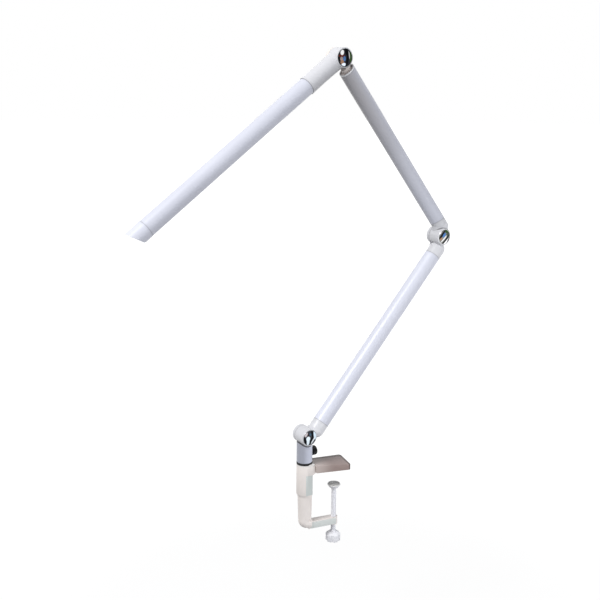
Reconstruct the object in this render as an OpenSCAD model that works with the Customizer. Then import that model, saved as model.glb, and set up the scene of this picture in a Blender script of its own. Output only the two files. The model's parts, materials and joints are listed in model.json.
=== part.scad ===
// Accordion desk lamp: a desk clamp carries a swivelling post, and three round members fold on it
// like a zigzag rule. Millimetres, +Z up, +X from the post towards the desk. The origin lies in the
// middle of the upper jaw's underside, where the lamp rests on the desk.

/* [Pose] */
// Turn of the post on its pin, away from the direction of the jaw
swivel_turn = 12; // [-180:1:180]
// Lean of the lower arm from upright
lower_lean = 42; // [0:1:60]
// Turn of the upper arm against the lower arm
elbow_turn = 80.5; // [0:0.5:135]
// Turn of the head against the upper arm
head_turn = 86.8; // [0:0.1:115]
// Furthest turn of the head that its neck leaves room for
head_turn_max = 115; // [105:1:118]

/* [Arms] */
// Outside diameter of the lower tube
lower_tube_d = 26; // [24:0.5:30]
// Outside diameter of the upper tube
upper_tube_d = 24.8; // [23:0.2:28]
// Wall of both arm tubes
tube_wall = 1.4; // [1:0.1:2]
// Lower arm from the base pivot to the elbow pivot
lower_arm_len = 392.5; // [250:0.5:500]
// Upper arm from the elbow pivot to the head pivot
upper_arm_len = 350.5; // [220:0.5:450]
// From a pivot to the end of the lower tube
lower_nose_len = 31.5; // [30:0.5:45]
// From the elbow pivot to the end of the upper tube
upper_nose_len = 21; // [20:0.5:40]
// From a pivot to the centre of the round nose beside it
nose_len = 18; // [16:0.5:19.5]
// From the head pivot back to the middle of the open end of the upper tube
neck_len = 22.2; // [21.5:0.1:30]
// Fall of the open end of the upper tube across its width, towards the fold
rim_fall = 2.5; // [0:0.5:10]
// Diameter of the neck that stands in the open end of the upper tube
neck_d = 14.8; // [12:0.2:14.8]
// Length of a fitting inside its tube
plug_len = 18; // [10:1:30]
// Gap between the two arm tubes when they lie folded side by side
fold_gap = 0.4; // [0.2:0.1:2]

/* [Head] */
// Outside diameter of the head tube
head_tube_d = 26.5; // [24:0.5:30]
// Wall of the head tube
head_wall = 1.4; // [1:0.1:2]
// From the head pivot to the end of the sleeve
sleeve_len = 69; // [50:1:100]
// From the head pivot to the far end of the head tube
head_len = 382.7; // [250:0.1:500]
// Diameter of the sleeve beside the head pivot
sleeve_d = 28; // [27:0.2:29]
// Diameter of the sleeve at its waist
waist_d = 27; // [26.6:0.1:28]
// Diameter of the sleeve where the head tube starts
sleeve_end_d = 27.6; // [27:0.1:29]
// Length of the end cap on the lit side
tip_short = 13; // [8:0.5:20]
// Length of the end cap on the top side
tip_long = 27; // [20:0.5:40]
// Depth of the flat along the lit side of the head tube
underside_cut = 2.85; // [2.5:0.05:3.5]
// Thickness of the diffuser
diffuser_t = 1.8; // [1.2:0.1:2.2]
// Distance between neighbouring diodes
led_pitch = 12; // [8:1:20]

/* [Hinges] */
// Diameter of the base and elbow barrels
hinge_d = 28; // [27:0.2:30]
// Diameter of the head barrel
head_hinge_d = 29; // [29:0.2:31]
// Length of a hinge from its bright cap to its back
hinge_len = 29; // [28:0.5:34]
// Thickness of the rear ear of a hinge
ear_t = 7; // [6.5:0.1:9]
// Diameter of the bright cap on a hinge
cap_d = 25.4; // [22:0.2:25.6]
// Diameter of a hinge bolt
bolt_d = 6; // [5:0.5:7]

/* [Post] */
// Diameter of the post
post_d = 25; // [24:0.5:26]
// Height of the base pivot above the desk
pivot_h = 63; // [60:0.5:70]
// Diameter of the steel pin that the post turns on
pin_d = 14; // [12:0.5:14]
// Height of the thumb screw above the desk
thumb_h = 33; // [32:0.5:34]
// Diameter of the thumb knob
thumb_knob_d = 15; // [12:0.5:16]
// Length of the thumb knob
thumb_knob_len = 8.4; // [6:0.2:10]

/* [Clamp] */
// From the post's axis to the middle of the upper jaw
jaw_reach = 42; // [38:1:46]
// Free height between the jaws
jaw_gap = 87; // [70:0.5:110]
// Outer end of the upper jaw, from the post's axis
jaw_end = 72; // [66:1:80]
// Width of the upper jaw beside the post
jaw_near_w = 30; // [29:0.5:32]
// Width of the upper jaw at its outer end
jaw_far_w = 43; // [38:0.5:50]
// Height of the upper jaw at its outer end
jaw_far_h = 9.6; // [8.8:0.2:10.4]
// Height of the upper jaw beside the post
jaw_near_h = 14.4; // [13.4:0.2:15]
// Thickness of the lower jaw
lower_jaw_t = 11.5; // [9:0.5:14]
// Width of the lower jaw and of the column's rib
lower_jaw_w = 13; // [12:0.5:16]
// From the post's axis to the clamp screw
screw_reach = 52; // [42:1:54]
// Diameter of the clamp screw
screw_d = 8; // [6:0.5:9]
// Free length of clamp screw above the lower jaw, up to its pad
screw_up = 52; // [20:1:56]
// Free length of clamp screw between the lower jaw and its knob
screw_down = 14; // [4:1:40]
// Diameter of the pad on the clamp screw
screw_pad_d = 21; // [16:1:26]
// Diameter of the knob on the clamp screw
screw_knob_d = 24; // [20:1:30]

/* [Hidden] */
$fn = 96;
overrun = 1;
running = 0.05;
face_gap = 0.05;
fit = 0.3;

// Axes of the tubes beside the pivots, so that the arms fold flat
lower_off = lower_tube_d / 2 + fold_gap / 2;
upper_off = upper_tube_d / 2 + fold_gap / 2;
lower_r = lower_tube_d / 2;
upper_r = upper_tube_d / 2;
plug_fit = 0.15;

// Hinge, measured along its axis from the middle: minus is the bright cap's side
seam_gap = 0.3;
hinge_relief = 0.4;
front_y = -hinge_len / 2;
back_y = hinge_len / 2;
ear_y = back_y - ear_t;
barrel_y = ear_y - seam_gap;
barrel_len = barrel_y - front_y;
rim_chamfer = 0.7;
ear_round = 2.4;
web_t = 9.2;
web_y = barrel_y - web_t;
cap_t = 1.5;
cap_rise = 1.3;
cap_seat = cap_t + face_gap;
cap_stub_d = 16.6;
cap_stub_len = 2;
pocket_d = 17;
bolt_hole_d = bolt_d + 2 * running;
bolt_head_d = 11;
bolt_head_t = 3.6;
bolt_key_af = 4;
bolt_key_deep = 2.2;
spring_d = 12.4;
spring_t = 0.5;
spring_rise = 0.9;
spring_y = web_y - face_gap - spring_t - spring_rise;
bolt_head_y = spring_y - face_gap - bolt_head_t;
washer_d = 20;
washer_t = 0.8;
washer_y = barrel_y + face_gap;
washer_seat = washer_y + washer_t + face_gap;
nut_af = 10;
nut_t = 2.7;
nut_fit = 0.15;
ear_wall = 2.1;
nut_y = washer_seat + ear_wall + face_gap;
plug_d = 21.6;
plug_t = 1.2;
plug_seat = back_y - plug_t;
lead_d = 3.2;
lead_hole_d = lead_d + 0.2;
pipe_d = 22;
arm_inset = 0.6;

// Post and its pin
ring_h = 16;
ring_t = 2.5;
post_h = ring_h + ring_t + face_gap;
post_chamfer = 0.6;
pin_top = 37.6;
pin_bottom = -12;
pin_chamfer = 1;
pin_hole_top = pin_top + 0.4;
shoulder_x = 2;
shoulder_drop = 0.2;
shoulder_fall = 4;
insert_d = 7.2;
insert_r0 = 8.4;
insert_r1 = 12.2;
thumb_d = 5;
thumb_tip_d = 4.9;
thumb_tip_len = 1.2;
thumb_tip_r = pin_d / 2 + face_gap;
thumb_shank_r = thumb_tip_r + thumb_tip_len + face_gap;
thumb_knob_r = post_d / 2 + 0.7;
thumb_dome = 1.6;
knurl_count = 20;
knurl_d = 1.1;
inlet_h = 42.2;
inlet_d = 6.4;
inlet_y0 = 3.6;
inlet_y1 = 12;
inlet_bore_d = 3.6;
inlet_deep = 7;
inlet_pin_d = 1.3;

// Clamp column, a round back with flat sides, and the sleeve over its upper end
sleeve_drop = 37;
sleeve_r = post_d / 2;
sleeve_flat = 10;
sleeve_block = 12.6;
sleeve_heel = 2.5;
sleeve_nose = 14.8;
sleeve_nose_h = 0.6;
sleeve_panel = 1;
sleeve_panel_u = 1.5;
sleeve_t = 1.6;
column_r = 10.6;
column_foot_r = 9.2;
column_flat = 8.1;
column_wide = 5.2;
core_top = 11.6;
corner_r = 15;
rib_top_u = 11;
rib_foot_u = 10.4;
rib_fillet = 6;
heel_len = 5;
jaw_bottom = -jaw_gap - lower_jaw_t;
corner_z = jaw_bottom + corner_r;
boss_drop = 1.6;
boss_d = 12;
screw_hole_d = screw_d + 2 * running;

// Upper jaw: a steel-backed tongue of the frame inside a moulded cover with a rubber pad
jaw_start = sleeve_block + fit;
tongue_h = 4;
pad_t = 2;
pad_stand = 1;
skirt_t = 2;
tongue_neck_w = 18;
tongue_u = 16;
jaw_corner_r = 4;
pad_inset = 0.2;
jaw_screw_us = [24, 50];
jaw_screw_d = 2.8;
jaw_screw_head_d = 5.6;
jaw_screw_head_t = 2;
jaw_screw_top = 8;
side_screw_h = -24;
side_screw_d = 3;
side_screw_head_d = 5.8;
side_screw_head_t = 1.8;
side_screw_len = 9;

// Clamp screw with its pad and knob
pad_cup_t = 4.5;
pad_rubber_t = 1.5;
pad_rubber_d = screw_pad_d - 1;
pad_seat_d = 10;
ball_d = 9;
ball_cut = 2.6;
screw_knob_h = 15;
lobe_count = 6;
lobe_d = 7;
knob_neck_d = 14;
knob_neck_h = 4;

// Head tube and what it holds
head_r = head_tube_d / 2;
head_in_r = head_r - head_wall;
flat_x = head_r - underside_cut;
plug_clear = 0.4;
head_plug_r = head_in_r - plug_fit;
waist_share = 0.6;
bay_d = 18;
foot_start = 1;
foot_w = 8.6;
bay_start = 24;
board_x = 5.2;
board_t = 1.2;
plug_x = board_x + board_t - plug_clear;
board_w = 19.6;
ledge_t = 1;
ledge_in = 8.4;
led_w = 2.8;
led_t = 0.8;
board_end_gap = 4;
cap_plug_len = 10;
driver_w = 17.4;
driver_t = 1.2;
driver_len = 40;
driver_start = 28;
tip_round = 3.5;

clamp_colour = [0.87, 0.84, 0.82];
cover_colour = [0.58, 0.51, 0.49];
shell_colour = [0.93, 0.93, 0.94];
tube_colour = [0.88, 0.89, 0.95];
post_colour = [0.80, 0.82, 0.87];
black = [0.07, 0.07, 0.08];
chrome = [0.75, 0.78, 0.82];
steel = [0.62, 0.63, 0.65];
brass = [0.80, 0.65, 0.30];
nylon = [0.92, 0.90, 0.84];
rubber = [0.13, 0.13, 0.14];
pale_rubber = [0.86, 0.85, 0.83];
opal = [0.97, 0.97, 0.95];

// Places: each module moves its children into the frame of one member
module at_post() {
    translate([-jaw_reach, 0, 0]) children();
}

module at_base() {
    at_post() rotate([0, 0, swivel_turn]) translate([0, 0, pivot_h]) children();
}

module at_lower() {
    at_base() rotate([0, lower_lean, 0]) children();
}

module at_elbow() {
    at_lower() translate([0, 0, lower_arm_len]) children();
}

module at_upper() {
    at_elbow() rotate([0, -elbow_turn, 0]) children();
}

module at_neck() {
    at_upper() translate([upper_off, 0, upper_arm_len]) children();
}

module at_head() {
    at_neck() rotate([0, -head_turn, 0]) children();
}

// A cylinder along the hinge axis, from one place on it to another
module along_hinge(y0, y1, d) {
    translate([0, y0, 0]) rotate([-90, 0, 0]) cylinder(h = y1 - y0, d = d);
}

// A cylinder along X, from one place on it to another
module along_x(x0, x1, d) {
    translate([x0, 0, 0]) rotate([0, 90, 0]) cylinder(h = x1 - x0, d = d);
}

// Round section with flat sides that run on to one side
module d_section(r, flat) {
    intersection() {
        circle(r);
        translate([-2 * r, -r]) square([2 * r + flat, 2 * r]);
    }
    translate([0, -r]) square([flat, 2 * r]);
}

// Hinge pieces that every joint has
module barrel_body(d) {
    along_hinge(front_y + rim_chamfer, barrel_y, d);
    translate([0, front_y, 0])
        rotate([-90, 0, 0])
            cylinder(h = rim_chamfer, d1 = d - 2 * rim_chamfer, d2 = d);
}

module barrel_holes() {
    along_hinge(front_y - overrun, front_y + cap_seat, cap_d + 2 * running);
    along_hinge(front_y - overrun, web_y, pocket_d);
    along_hinge(front_y - overrun, barrel_y + overrun, bolt_hole_d);
}

module ear_relief(d) {
    along_hinge(barrel_y, back_y + hinge_len, d + 2 * hinge_relief);
}

module barrel_relief(d) {
    along_hinge(front_y - hinge_len, ear_y, d + 2 * hinge_relief);
}

module ear_body(d) {
    translate([0, ear_y, 0]) rotate([-90, 0, 0]) rotate_extrude() {
        square([d / 2, ear_t - ear_round]);
        square([d / 2 - ear_round, ear_t]);
        intersection() {
            translate([d / 2 - ear_round, ear_t - ear_round]) circle(ear_round);
            square([d / 2, ear_t]);
        }
    }
}

module ear_holes() {
    along_hinge(ear_y - overrun, washer_seat, washer_d + 4 * running);
    along_hinge(ear_y - overrun, back_y + overrun, bolt_hole_d);
    along_hinge(plug_seat, back_y + overrun, plug_d + 2 * running);
    translate([0, nut_y - face_gap, 0]) rotate([-90, 0, 0])
        cylinder(h = ear_t, d = (nut_af + 2 * nut_fit) / cos(30), $fn = 6);
}

module hinge_washer() {
    color(nylon) difference() {
        along_hinge(washer_y, washer_y + washer_t, washer_d);
        along_hinge(washer_y - overrun, washer_y + washer_t + overrun, bolt_hole_d);
    }
}

module hinge_spring() {
    color(steel) translate([0, spring_y, 0]) rotate([-90, 0, 0]) rotate_extrude()
        polygon([
            [bolt_hole_d / 2, 0],
            [bolt_hole_d / 2, spring_t],
            [spring_d / 2, spring_t + spring_rise],
            [spring_d / 2, spring_rise],
        ]);
}

module hinge_bolt() {
    color(steel) difference() {
        union() {
            along_hinge(bolt_head_y, bolt_head_y + bolt_head_t, bolt_head_d);
            along_hinge(bolt_head_y, plug_seat - face_gap, bolt_d);
        }
        translate([0, bolt_head_y - overrun, 0]) rotate([-90, 0, 0])
            cylinder(h = bolt_key_deep + overrun, d = bolt_key_af / cos(30), $fn = 6);
    }
}

module hinge_nut() {
    color(steel) difference() {
        translate([0, nut_y, 0]) rotate([-90, 0, 0])
            cylinder(h = nut_t, d = nut_af / cos(30), $fn = 6);
        along_hinge(nut_y - overrun, nut_y + nut_t + overrun, bolt_hole_d);
    }
}

module hinge_plug() {
    color(shell_colour) along_hinge(plug_seat + face_gap, back_y, plug_d);
}

// Bright cap: a shallow dome on a stub that presses into the barrel
module hinge_cap() {
    dome_r = (cap_d * cap_d / 4 + cap_rise * cap_rise) / (2 * cap_rise);
    color(chrome) translate([0, front_y, 0]) rotate([-90, 0, 0]) rotate_extrude() {
        square([cap_d / 2, cap_t]);
        square([cap_stub_d / 2, cap_t + cap_stub_len]);
        intersection() {
            translate([0, dome_r - cap_rise]) circle(dome_r, $fn = 720);
            translate([0, -cap_rise - overrun]) square([cap_d / 2, cap_rise + cap_t + overrun]);
        }
    }
}

// Outer fitting: barrel, round nose beside it and a plug in the tube
module knuckle(tube_r, off, nose_end) {
    color(shell_colour) difference() {
        union() {
            barrel_body(hinge_d);
            translate([off, 0, nose_len]) intersection() {
                sphere(tube_r);
                translate([0, 0, -tube_r])
                    cylinder(h = tube_r + nose_end - nose_len, r = 2 * tube_r);
            }
            translate([off, 0, nose_len]) cylinder(h = nose_end - nose_len, r = tube_r);
            translate([off, 0, nose_len])
                cylinder(h = nose_end + plug_len - nose_len, r = tube_r - tube_wall - plug_fit);
            intersection() {
                rotate([0, atan2(off, nose_len), 0]) cylinder(h = nose_len, d = pipe_d);
                along_hinge(front_y + rim_chamfer, barrel_y, 4 * hinge_d);
            }
        }
        ear_relief(hinge_d);
        barrel_holes();
        translate([off, 0, nose_len]) cylinder(h = nose_end + plug_len, d = lead_hole_d);
    }
}

// Arm of a rear ear: the rear part of a round bar from the pivot to the nose beside it
module ear_arm(tube_r, off) {
    intersection() {
        rotate([0, atan2(off, -nose_len), 0])
            cylinder(h = sqrt(off * off + nose_len * nose_len), r = tube_r - arm_inset);
        along_hinge(ear_y, back_y, 4 * hinge_d);
    }
}

module clamp_frame() {
    taper_h = -sleeve_drop - corner_z;
    color(clamp_colour) at_post() difference() {
        union() {
            translate([0, 0, -sleeve_drop])
                linear_extrude(sleeve_drop + core_top) d_section(column_r, column_flat);
            intersection() {
                translate([0, 0, corner_z])
                    cylinder(h = taper_h, r1 = column_foot_r, r2 = column_r);
                translate([-2 * column_r, -2 * column_r, corner_z])
                    cube([2 * column_r + column_wide, 4 * column_r, taper_h]);
            }
            translate([0, 0, corner_z]) rotate([90, 0, 90]) linear_extrude(column_wide)
                polygon([
                    [-column_foot_r, 0],
                    [column_foot_r, 0],
                    [column_r, taper_h],
                    [-column_r, taper_h],
                ]);
            column_corner();
            column_heel();
            rotate([90, 0, 0]) linear_extrude(lower_jaw_w, center = true) rib_outline();
            translate([screw_reach, 0, jaw_bottom])
                cylinder(h = lower_jaw_t, d = lower_jaw_w);
            translate([screw_reach, 0, jaw_bottom - boss_drop])
                cylinder(h = boss_drop, d = boss_d);
            tongue();
        }
        translate([0, 0, pin_bottom]) cylinder(h = core_top - pin_bottom + overrun, d = pin_d);
        translate([screw_reach, 0, jaw_bottom - boss_drop - overrun])
            cylinder(h = lower_jaw_t + boss_drop + 2 * overrun, d = screw_hole_d);
        translate([0, 0, side_screw_h])
            along_x(sleeve_flat - side_screw_len - fit, sleeve_block, side_screw_d + 2 * running);
        for (u = jaw_screw_us) translate([u, 0, pad_t - overrun]) {
            cylinder(h = tongue_h + 2 * overrun, d = jaw_screw_d + 2 * running);
            cylinder(h = jaw_screw_head_t + face_gap + overrun, d = jaw_screw_head_d + fit);
        }
    }
}

// The column's section swept round the outer corner
module column_corner() {
    centre_u = corner_r - column_foot_r;
    translate([centre_u, 0, corner_z])
        rotate([-90, 0, 180])
            rotate_extrude(angle = 90) {
                translate([centre_u - column_wide, -column_foot_r])
                    square([column_wide, 2 * column_foot_r]);
                intersection() {
                    translate([centre_u, 0]) circle(column_foot_r);
                    translate([centre_u, -column_foot_r]) square([corner_r, 2 * column_foot_r]);
                }
            }
}

module column_heel() {
    centre_u = corner_r - column_foot_r;
    translate([centre_u, 0, jaw_bottom + column_foot_r])
        rotate([90, 0, 90])
            linear_extrude(heel_len)
                rotate(90) d_section(column_foot_r, column_wide);
}

// Side view of the inner rib and the lower jaw
module rib_outline() {
    polygon([
        [0, -sleeve_drop - fit],
        [rib_top_u, -sleeve_drop - fit],
        [rib_foot_u, -jaw_gap],
        [screw_reach, -jaw_gap],
        [screw_reach, jaw_bottom],
        [corner_r - column_foot_r, jaw_bottom],
        [0, corner_z],
    ]);
    translate([rib_foot_u, -jaw_gap]) difference() {
        translate([-overrun, -overrun]) square(rib_fillet + overrun);
        translate([rib_fillet, rib_fillet]) circle(rib_fillet);
    }
}

// Half width of the upper jaw at a distance from the post's axis
function jaw_half(u) =
    (jaw_near_w + (jaw_far_w - jaw_near_w) * (u - jaw_start) / (jaw_end - jaw_start)) / 2;

// Plan of the upper jaw between two distances, set in from its outside
module jaw_plan(u0, u1, inset) {
    polygon([
        [u0, -jaw_half(u0) + inset],
        [u1, -jaw_half(u1) + inset],
        [u1, jaw_half(u1) - inset],
        [u0, jaw_half(u0) - inset],
    ]);
}

// Plan of the cover, with its outer corners rounded
module jaw_plan_round(u0, u1, r) {
    flare = atan2(jaw_half(u1) - jaw_half(u0), u1 - u0);
    cu = u1 - r;
    cv = jaw_half(cu) - r / cos(flare);
    tu = cu - r * sin(flare);
    tv = cv + r * cos(flare);
    polygon([
        [u0, -jaw_half(u0)],
        [tu, -tv],
        [cu, -cv],
        [u1, -cv],
        [u1, cv],
        [cu, cv],
        [tu, tv],
        [u0, jaw_half(u0)],
    ]);
    for (side = [-1, 1]) translate([cu, side * cv]) circle(r);
}

module tongue() {
    inset = skirt_t + fit;
    translate([0, 0, pad_t]) linear_extrude(tongue_h) {
        jaw_plan(tongue_u, jaw_end - inset, inset);
        translate([0, -tongue_neck_w / 2]) square([tongue_u + overrun, tongue_neck_w]);
    }
}

module clamp_sleeve() {
    cavity_r = column_r + fit;
    color(clamp_colour) at_post() difference() {
        union() {
            translate([0, 0, -sleeve_drop])
                linear_extrude(sleeve_drop + ring_h) d_section(sleeve_r, sleeve_flat);
            rotate([90, 0, 0]) linear_extrude(2 * sleeve_r, center = true)
                polygon([
                    [0, -sleeve_heel],
                    [sleeve_flat, -sleeve_heel],
                    [sleeve_nose, sleeve_nose_h],
                    [sleeve_block, ring_h],
                    [0, ring_h],
                ]);
        }
        translate([0, 0, -sleeve_drop - overrun])
            linear_extrude(sleeve_drop + core_top + fit + overrun)
                d_section(cavity_r, column_flat + fit);
        translate([0, 0, core_top - overrun])
            cylinder(h = ring_h, d = pin_d + 2 * fit);
        for (side = [-1, 1])
            translate([sleeve_panel_u, side * sleeve_r - sleeve_panel, -sleeve_drop - overrun])
                cube([sleeve_flat, 2 * sleeve_panel, sleeve_drop - sleeve_heel + overrun]);
        translate([0, -tongue_neck_w / 2 - fit, pad_t - fit])
            cube([sleeve_nose + overrun, tongue_neck_w + 2 * fit, tongue_h + 2 * fit]);
        translate([0, 0, side_screw_h])
            along_x(0, sleeve_flat + overrun, side_screw_d + 2 * fit);
    }
}

module sleeve_screw() {
    color(steel) at_post() translate([0, 0, side_screw_h]) {
        along_x(sleeve_flat + face_gap, sleeve_flat + side_screw_head_t, side_screw_head_d);
        along_x(sleeve_flat - side_screw_len, sleeve_flat + side_screw_head_t, side_screw_d);
    }
}

module jaw_cover() {
    color(cover_colour) at_post() difference() {
        intersection() {
            rotate([90, 0, 0]) linear_extrude(2 * jaw_far_w, center = true)
                polygon([
                    [sleeve_nose + fit, pad_stand],
                    [jaw_end, pad_stand],
                    [jaw_end, jaw_far_h],
                    [jaw_start + fit, jaw_near_h],
                ]);
            linear_extrude(jaw_near_h + overrun) jaw_plan_round(jaw_start, jaw_end, jaw_corner_r);
        }
        linear_extrude(pad_t + tongue_h + fit) jaw_plan(tongue_u, jaw_end - skirt_t, skirt_t);
        translate([0, -tongue_neck_w / 2 - fit, 0])
            cube([tongue_u + overrun, tongue_neck_w + 2 * fit, pad_t + tongue_h + fit]);
        for (u = jaw_screw_us) translate([u, 0, 0])
            cylinder(h = jaw_screw_top + fit, d = jaw_screw_d + 2 * running);
    }
}

module jaw_screws() {
    color(steel) at_post() for (u = jaw_screw_us) translate([u, 0, pad_t]) {
        cylinder(h = jaw_screw_head_t, d = jaw_screw_head_d);
        cylinder(h = jaw_screw_top - pad_t, d = jaw_screw_d);
    }
}

module jaw_pad() {
    inset = skirt_t + fit + pad_inset;
    color(rubber) at_post() linear_extrude(pad_t - face_gap)
        jaw_plan(tongue_u + pad_t, jaw_end - inset, inset);
}

module post_pin() {
    color(steel) at_post() {
        translate([0, 0, pin_bottom])
            cylinder(h = pin_top - pin_chamfer - pin_bottom, d = pin_d);
        translate([0, 0, pin_top - pin_chamfer])
            cylinder(h = pin_chamfer, d1 = pin_d, d2 = pin_d - 2 * pin_chamfer);
    }
}

module base_ring() {
    color(black) at_post() translate([0, 0, ring_h]) difference() {
        cylinder(h = ring_t, d = post_d);
        translate([0, 0, -overrun]) cylinder(h = ring_t + 2 * overrun, d = pin_d + 2 * fit);
    }
}

module screw_pad() {
    color(shell_colour) at_post() translate([screw_reach, 0, -jaw_gap + screw_up]) difference() {
        cylinder(h = pad_cup_t, d1 = pad_seat_d + pad_cup_t, d2 = screw_pad_d);
        translate([0, 0, ball_d / 2 - ball_cut]) sphere(d = ball_d + 2 * running);
        translate([0, 0, -overrun]) cylinder(h = overrun + ball_d / 4, d = screw_d + 2 * fit);
    }
}

module screw_pad_rubber() {
    color(pale_rubber) at_post()
        translate([screw_reach, 0, -jaw_gap + screw_up + pad_cup_t + face_gap])
            cylinder(h = pad_rubber_t, d = pad_rubber_d);
}

module clamp_screw() {
    pad_z = -jaw_gap + screw_up;
    foot_z = jaw_bottom - boss_drop - screw_down - screw_knob_h / 2;
    color(shell_colour) at_post() translate([screw_reach, 0, 0]) {
        translate([0, 0, foot_z]) cylinder(h = pad_z - foot_z + ball_cut, d = screw_d);
        intersection() {
            translate([0, 0, pad_z + ball_d / 2 - ball_cut]) sphere(d = ball_d);
            translate([0, 0, pad_z]) cylinder(h = pad_cup_t - face_gap, d = ball_d);
        }
    }
}

module clamp_knob() {
    top_z = jaw_bottom - boss_drop - screw_down;
    color(shell_colour) at_post() translate([screw_reach, 0, top_z - screw_knob_h]) difference() {
        union() {
            cylinder(h = screw_knob_h - knob_neck_h, d = screw_knob_d);
            translate([0, 0, screw_knob_h - knob_neck_h])
                cylinder(h = knob_neck_h, d1 = screw_knob_d, d2 = knob_neck_d);
        }
        for (i = [0 : lobe_count - 1])
            rotate([0, 0, i * 360 / lobe_count])
                translate([screw_knob_d / 2 + lobe_d / 4, 0, -overrun])
                    cylinder(h = screw_knob_h + 2 * overrun, d = lobe_d);
        translate([0, 0, screw_knob_h / 2])
            cylinder(h = screw_knob_h, d = screw_d);
    }
}

module post() {
    bottom = post_h - pivot_h;
    color(post_colour) at_base() difference() {
        union() {
            translate([0, 0, bottom + post_chamfer])
                cylinder(h = -bottom - post_chamfer, d = post_d);
            translate([0, 0, bottom])
                cylinder(h = post_chamfer, d1 = post_d - 2 * post_chamfer, d2 = post_d);
            ear_body(hinge_d);
        }
        barrel_relief(hinge_d);
        ear_holes();
        rotate([90, 0, 0]) translate([0, 0, -ear_y]) linear_extrude(hinge_len)
            polygon([
                [shoulder_x, -hinge_d / 2 - hinge_relief - shoulder_drop],
                [post_d, -hinge_d / 2 - hinge_relief - shoulder_drop - shoulder_fall
                    * (post_d - shoulder_x) / (post_d / 2 - shoulder_x)],
                [post_d, 0],
                [shoulder_x, 0],
            ]);
        translate([0, 0, bottom - overrun])
            cylinder(h = pin_hole_top - post_h + overrun, d = pin_d + 2 * running);
        translate([0, 0, thumb_h - pivot_h]) along_x(0, post_d, insert_d + 2 * running);
        translate([0, 0, inlet_h - pivot_h])
            along_hinge(inlet_y0 - fit, post_d, inlet_d + 2 * running);
    }
}

module thumb_insert() {
    color(brass) at_base() translate([0, 0, thumb_h - pivot_h]) difference() {
        along_x(insert_r0, insert_r1, insert_d);
        along_x(insert_r0 - overrun, insert_r1 + overrun, thumb_d + 2 * running);
    }
}

module power_inlet() {
    color(black) at_base() translate([0, 0, inlet_h - pivot_h]) {
        difference() {
            along_hinge(inlet_y0, inlet_y1, inlet_d);
            along_hinge(inlet_y1 - inlet_deep, inlet_y1 + overrun, inlet_bore_d);
        }
        along_hinge(inlet_y0 + fit, inlet_y1 - fit, inlet_pin_d);
    }
}

module base_washer() {
    at_base() hinge_washer();
}

module base_spring() {
    at_base() hinge_spring();
}

module base_bolt() {
    at_base() hinge_bolt();
}

module base_nut() {
    at_base() hinge_nut();
}

module base_plug() {
    at_base() hinge_plug();
}

module thumb_tip() {
    color(nylon) at_base() translate([0, 0, thumb_h - pivot_h])
        along_x(thumb_tip_r, thumb_tip_r + thumb_tip_len, thumb_tip_d);
}

module thumb_screw() {
    color(steel) at_base() translate([0, 0, thumb_h - pivot_h])
        along_x(thumb_shank_r, thumb_knob_r + thumb_knob_len / 2, thumb_d);
}

module thumb_knob() {
    color(black) at_base() translate([0, 0, thumb_h - pivot_h]) difference() {
        union() {
            along_x(thumb_knob_r, thumb_knob_r + thumb_knob_len - thumb_dome, thumb_knob_d);
            translate([thumb_knob_r + thumb_knob_len - thumb_dome, 0, 0]) rotate([0, 90, 0])
                cylinder(h = thumb_dome, d1 = thumb_knob_d, d2 = thumb_knob_d - 2 * thumb_dome);
        }
        for (i = [0 : knurl_count - 1])
            rotate([i * 360 / knurl_count, 0, 0])
                translate([0, 0, thumb_knob_d / 2])
                    along_x(thumb_knob_r - overrun, thumb_knob_r + thumb_knob_len + overrun, knurl_d);
        along_x(thumb_knob_r - overrun, thumb_knob_r + thumb_knob_len / 2, thumb_d);
    }
}

module lower_knuckle() {
    at_lower() knuckle(lower_r, lower_off, lower_nose_len);
}

module base_cap() {
    at_lower() hinge_cap();
}

module lower_tube() {
    tube_len = lower_arm_len - 2 * lower_nose_len;
    color(tube_colour) at_lower() translate([lower_off, 0, lower_nose_len]) difference() {
        cylinder(h = tube_len, r = lower_r);
        translate([0, 0, -overrun]) cylinder(h = tube_len + 2 * overrun, r = lower_r - tube_wall);
    }
}

module lower_fork() {
    color(shell_colour) at_elbow() difference() {
        union() {
            difference() {
                union() {
                    translate([lower_off, 0, -nose_len]) sphere(lower_r);
                    translate([lower_off, 0, -lower_nose_len])
                        cylinder(h = lower_nose_len - nose_len, r = lower_r);
                    translate([lower_off, 0, -lower_nose_len - plug_len])
                        cylinder(h = lower_nose_len + plug_len - nose_len,
                            r = lower_r - tube_wall - plug_fit);
                }
                barrel_relief(hinge_d);
            }
            ear_body(hinge_d);
            ear_arm(lower_r, lower_off);
        }
        ear_holes();
        translate([lower_off, 0, -lower_nose_len - plug_len - overrun])
            cylinder(h = lower_nose_len + plug_len - nose_len + overrun, d = lead_hole_d);
    }
}

module lower_lead() {
    color(rubber) at_lower() translate([lower_off, 0, nose_len + face_gap])
        cylinder(h = lower_arm_len - 2 * nose_len - 2 * face_gap, d = lead_d);
}

module elbow_washer() {
    at_elbow() hinge_washer();
}

module elbow_spring() {
    at_elbow() hinge_spring();
}

module elbow_bolt() {
    at_elbow() hinge_bolt();
}

module elbow_nut() {
    at_elbow() hinge_nut();
}

module elbow_plug() {
    at_elbow() hinge_plug();
}

module upper_knuckle() {
    at_upper() knuckle(upper_r, upper_off, upper_nose_len);
}

module elbow_cap() {
    at_upper() hinge_cap();
}

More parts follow.
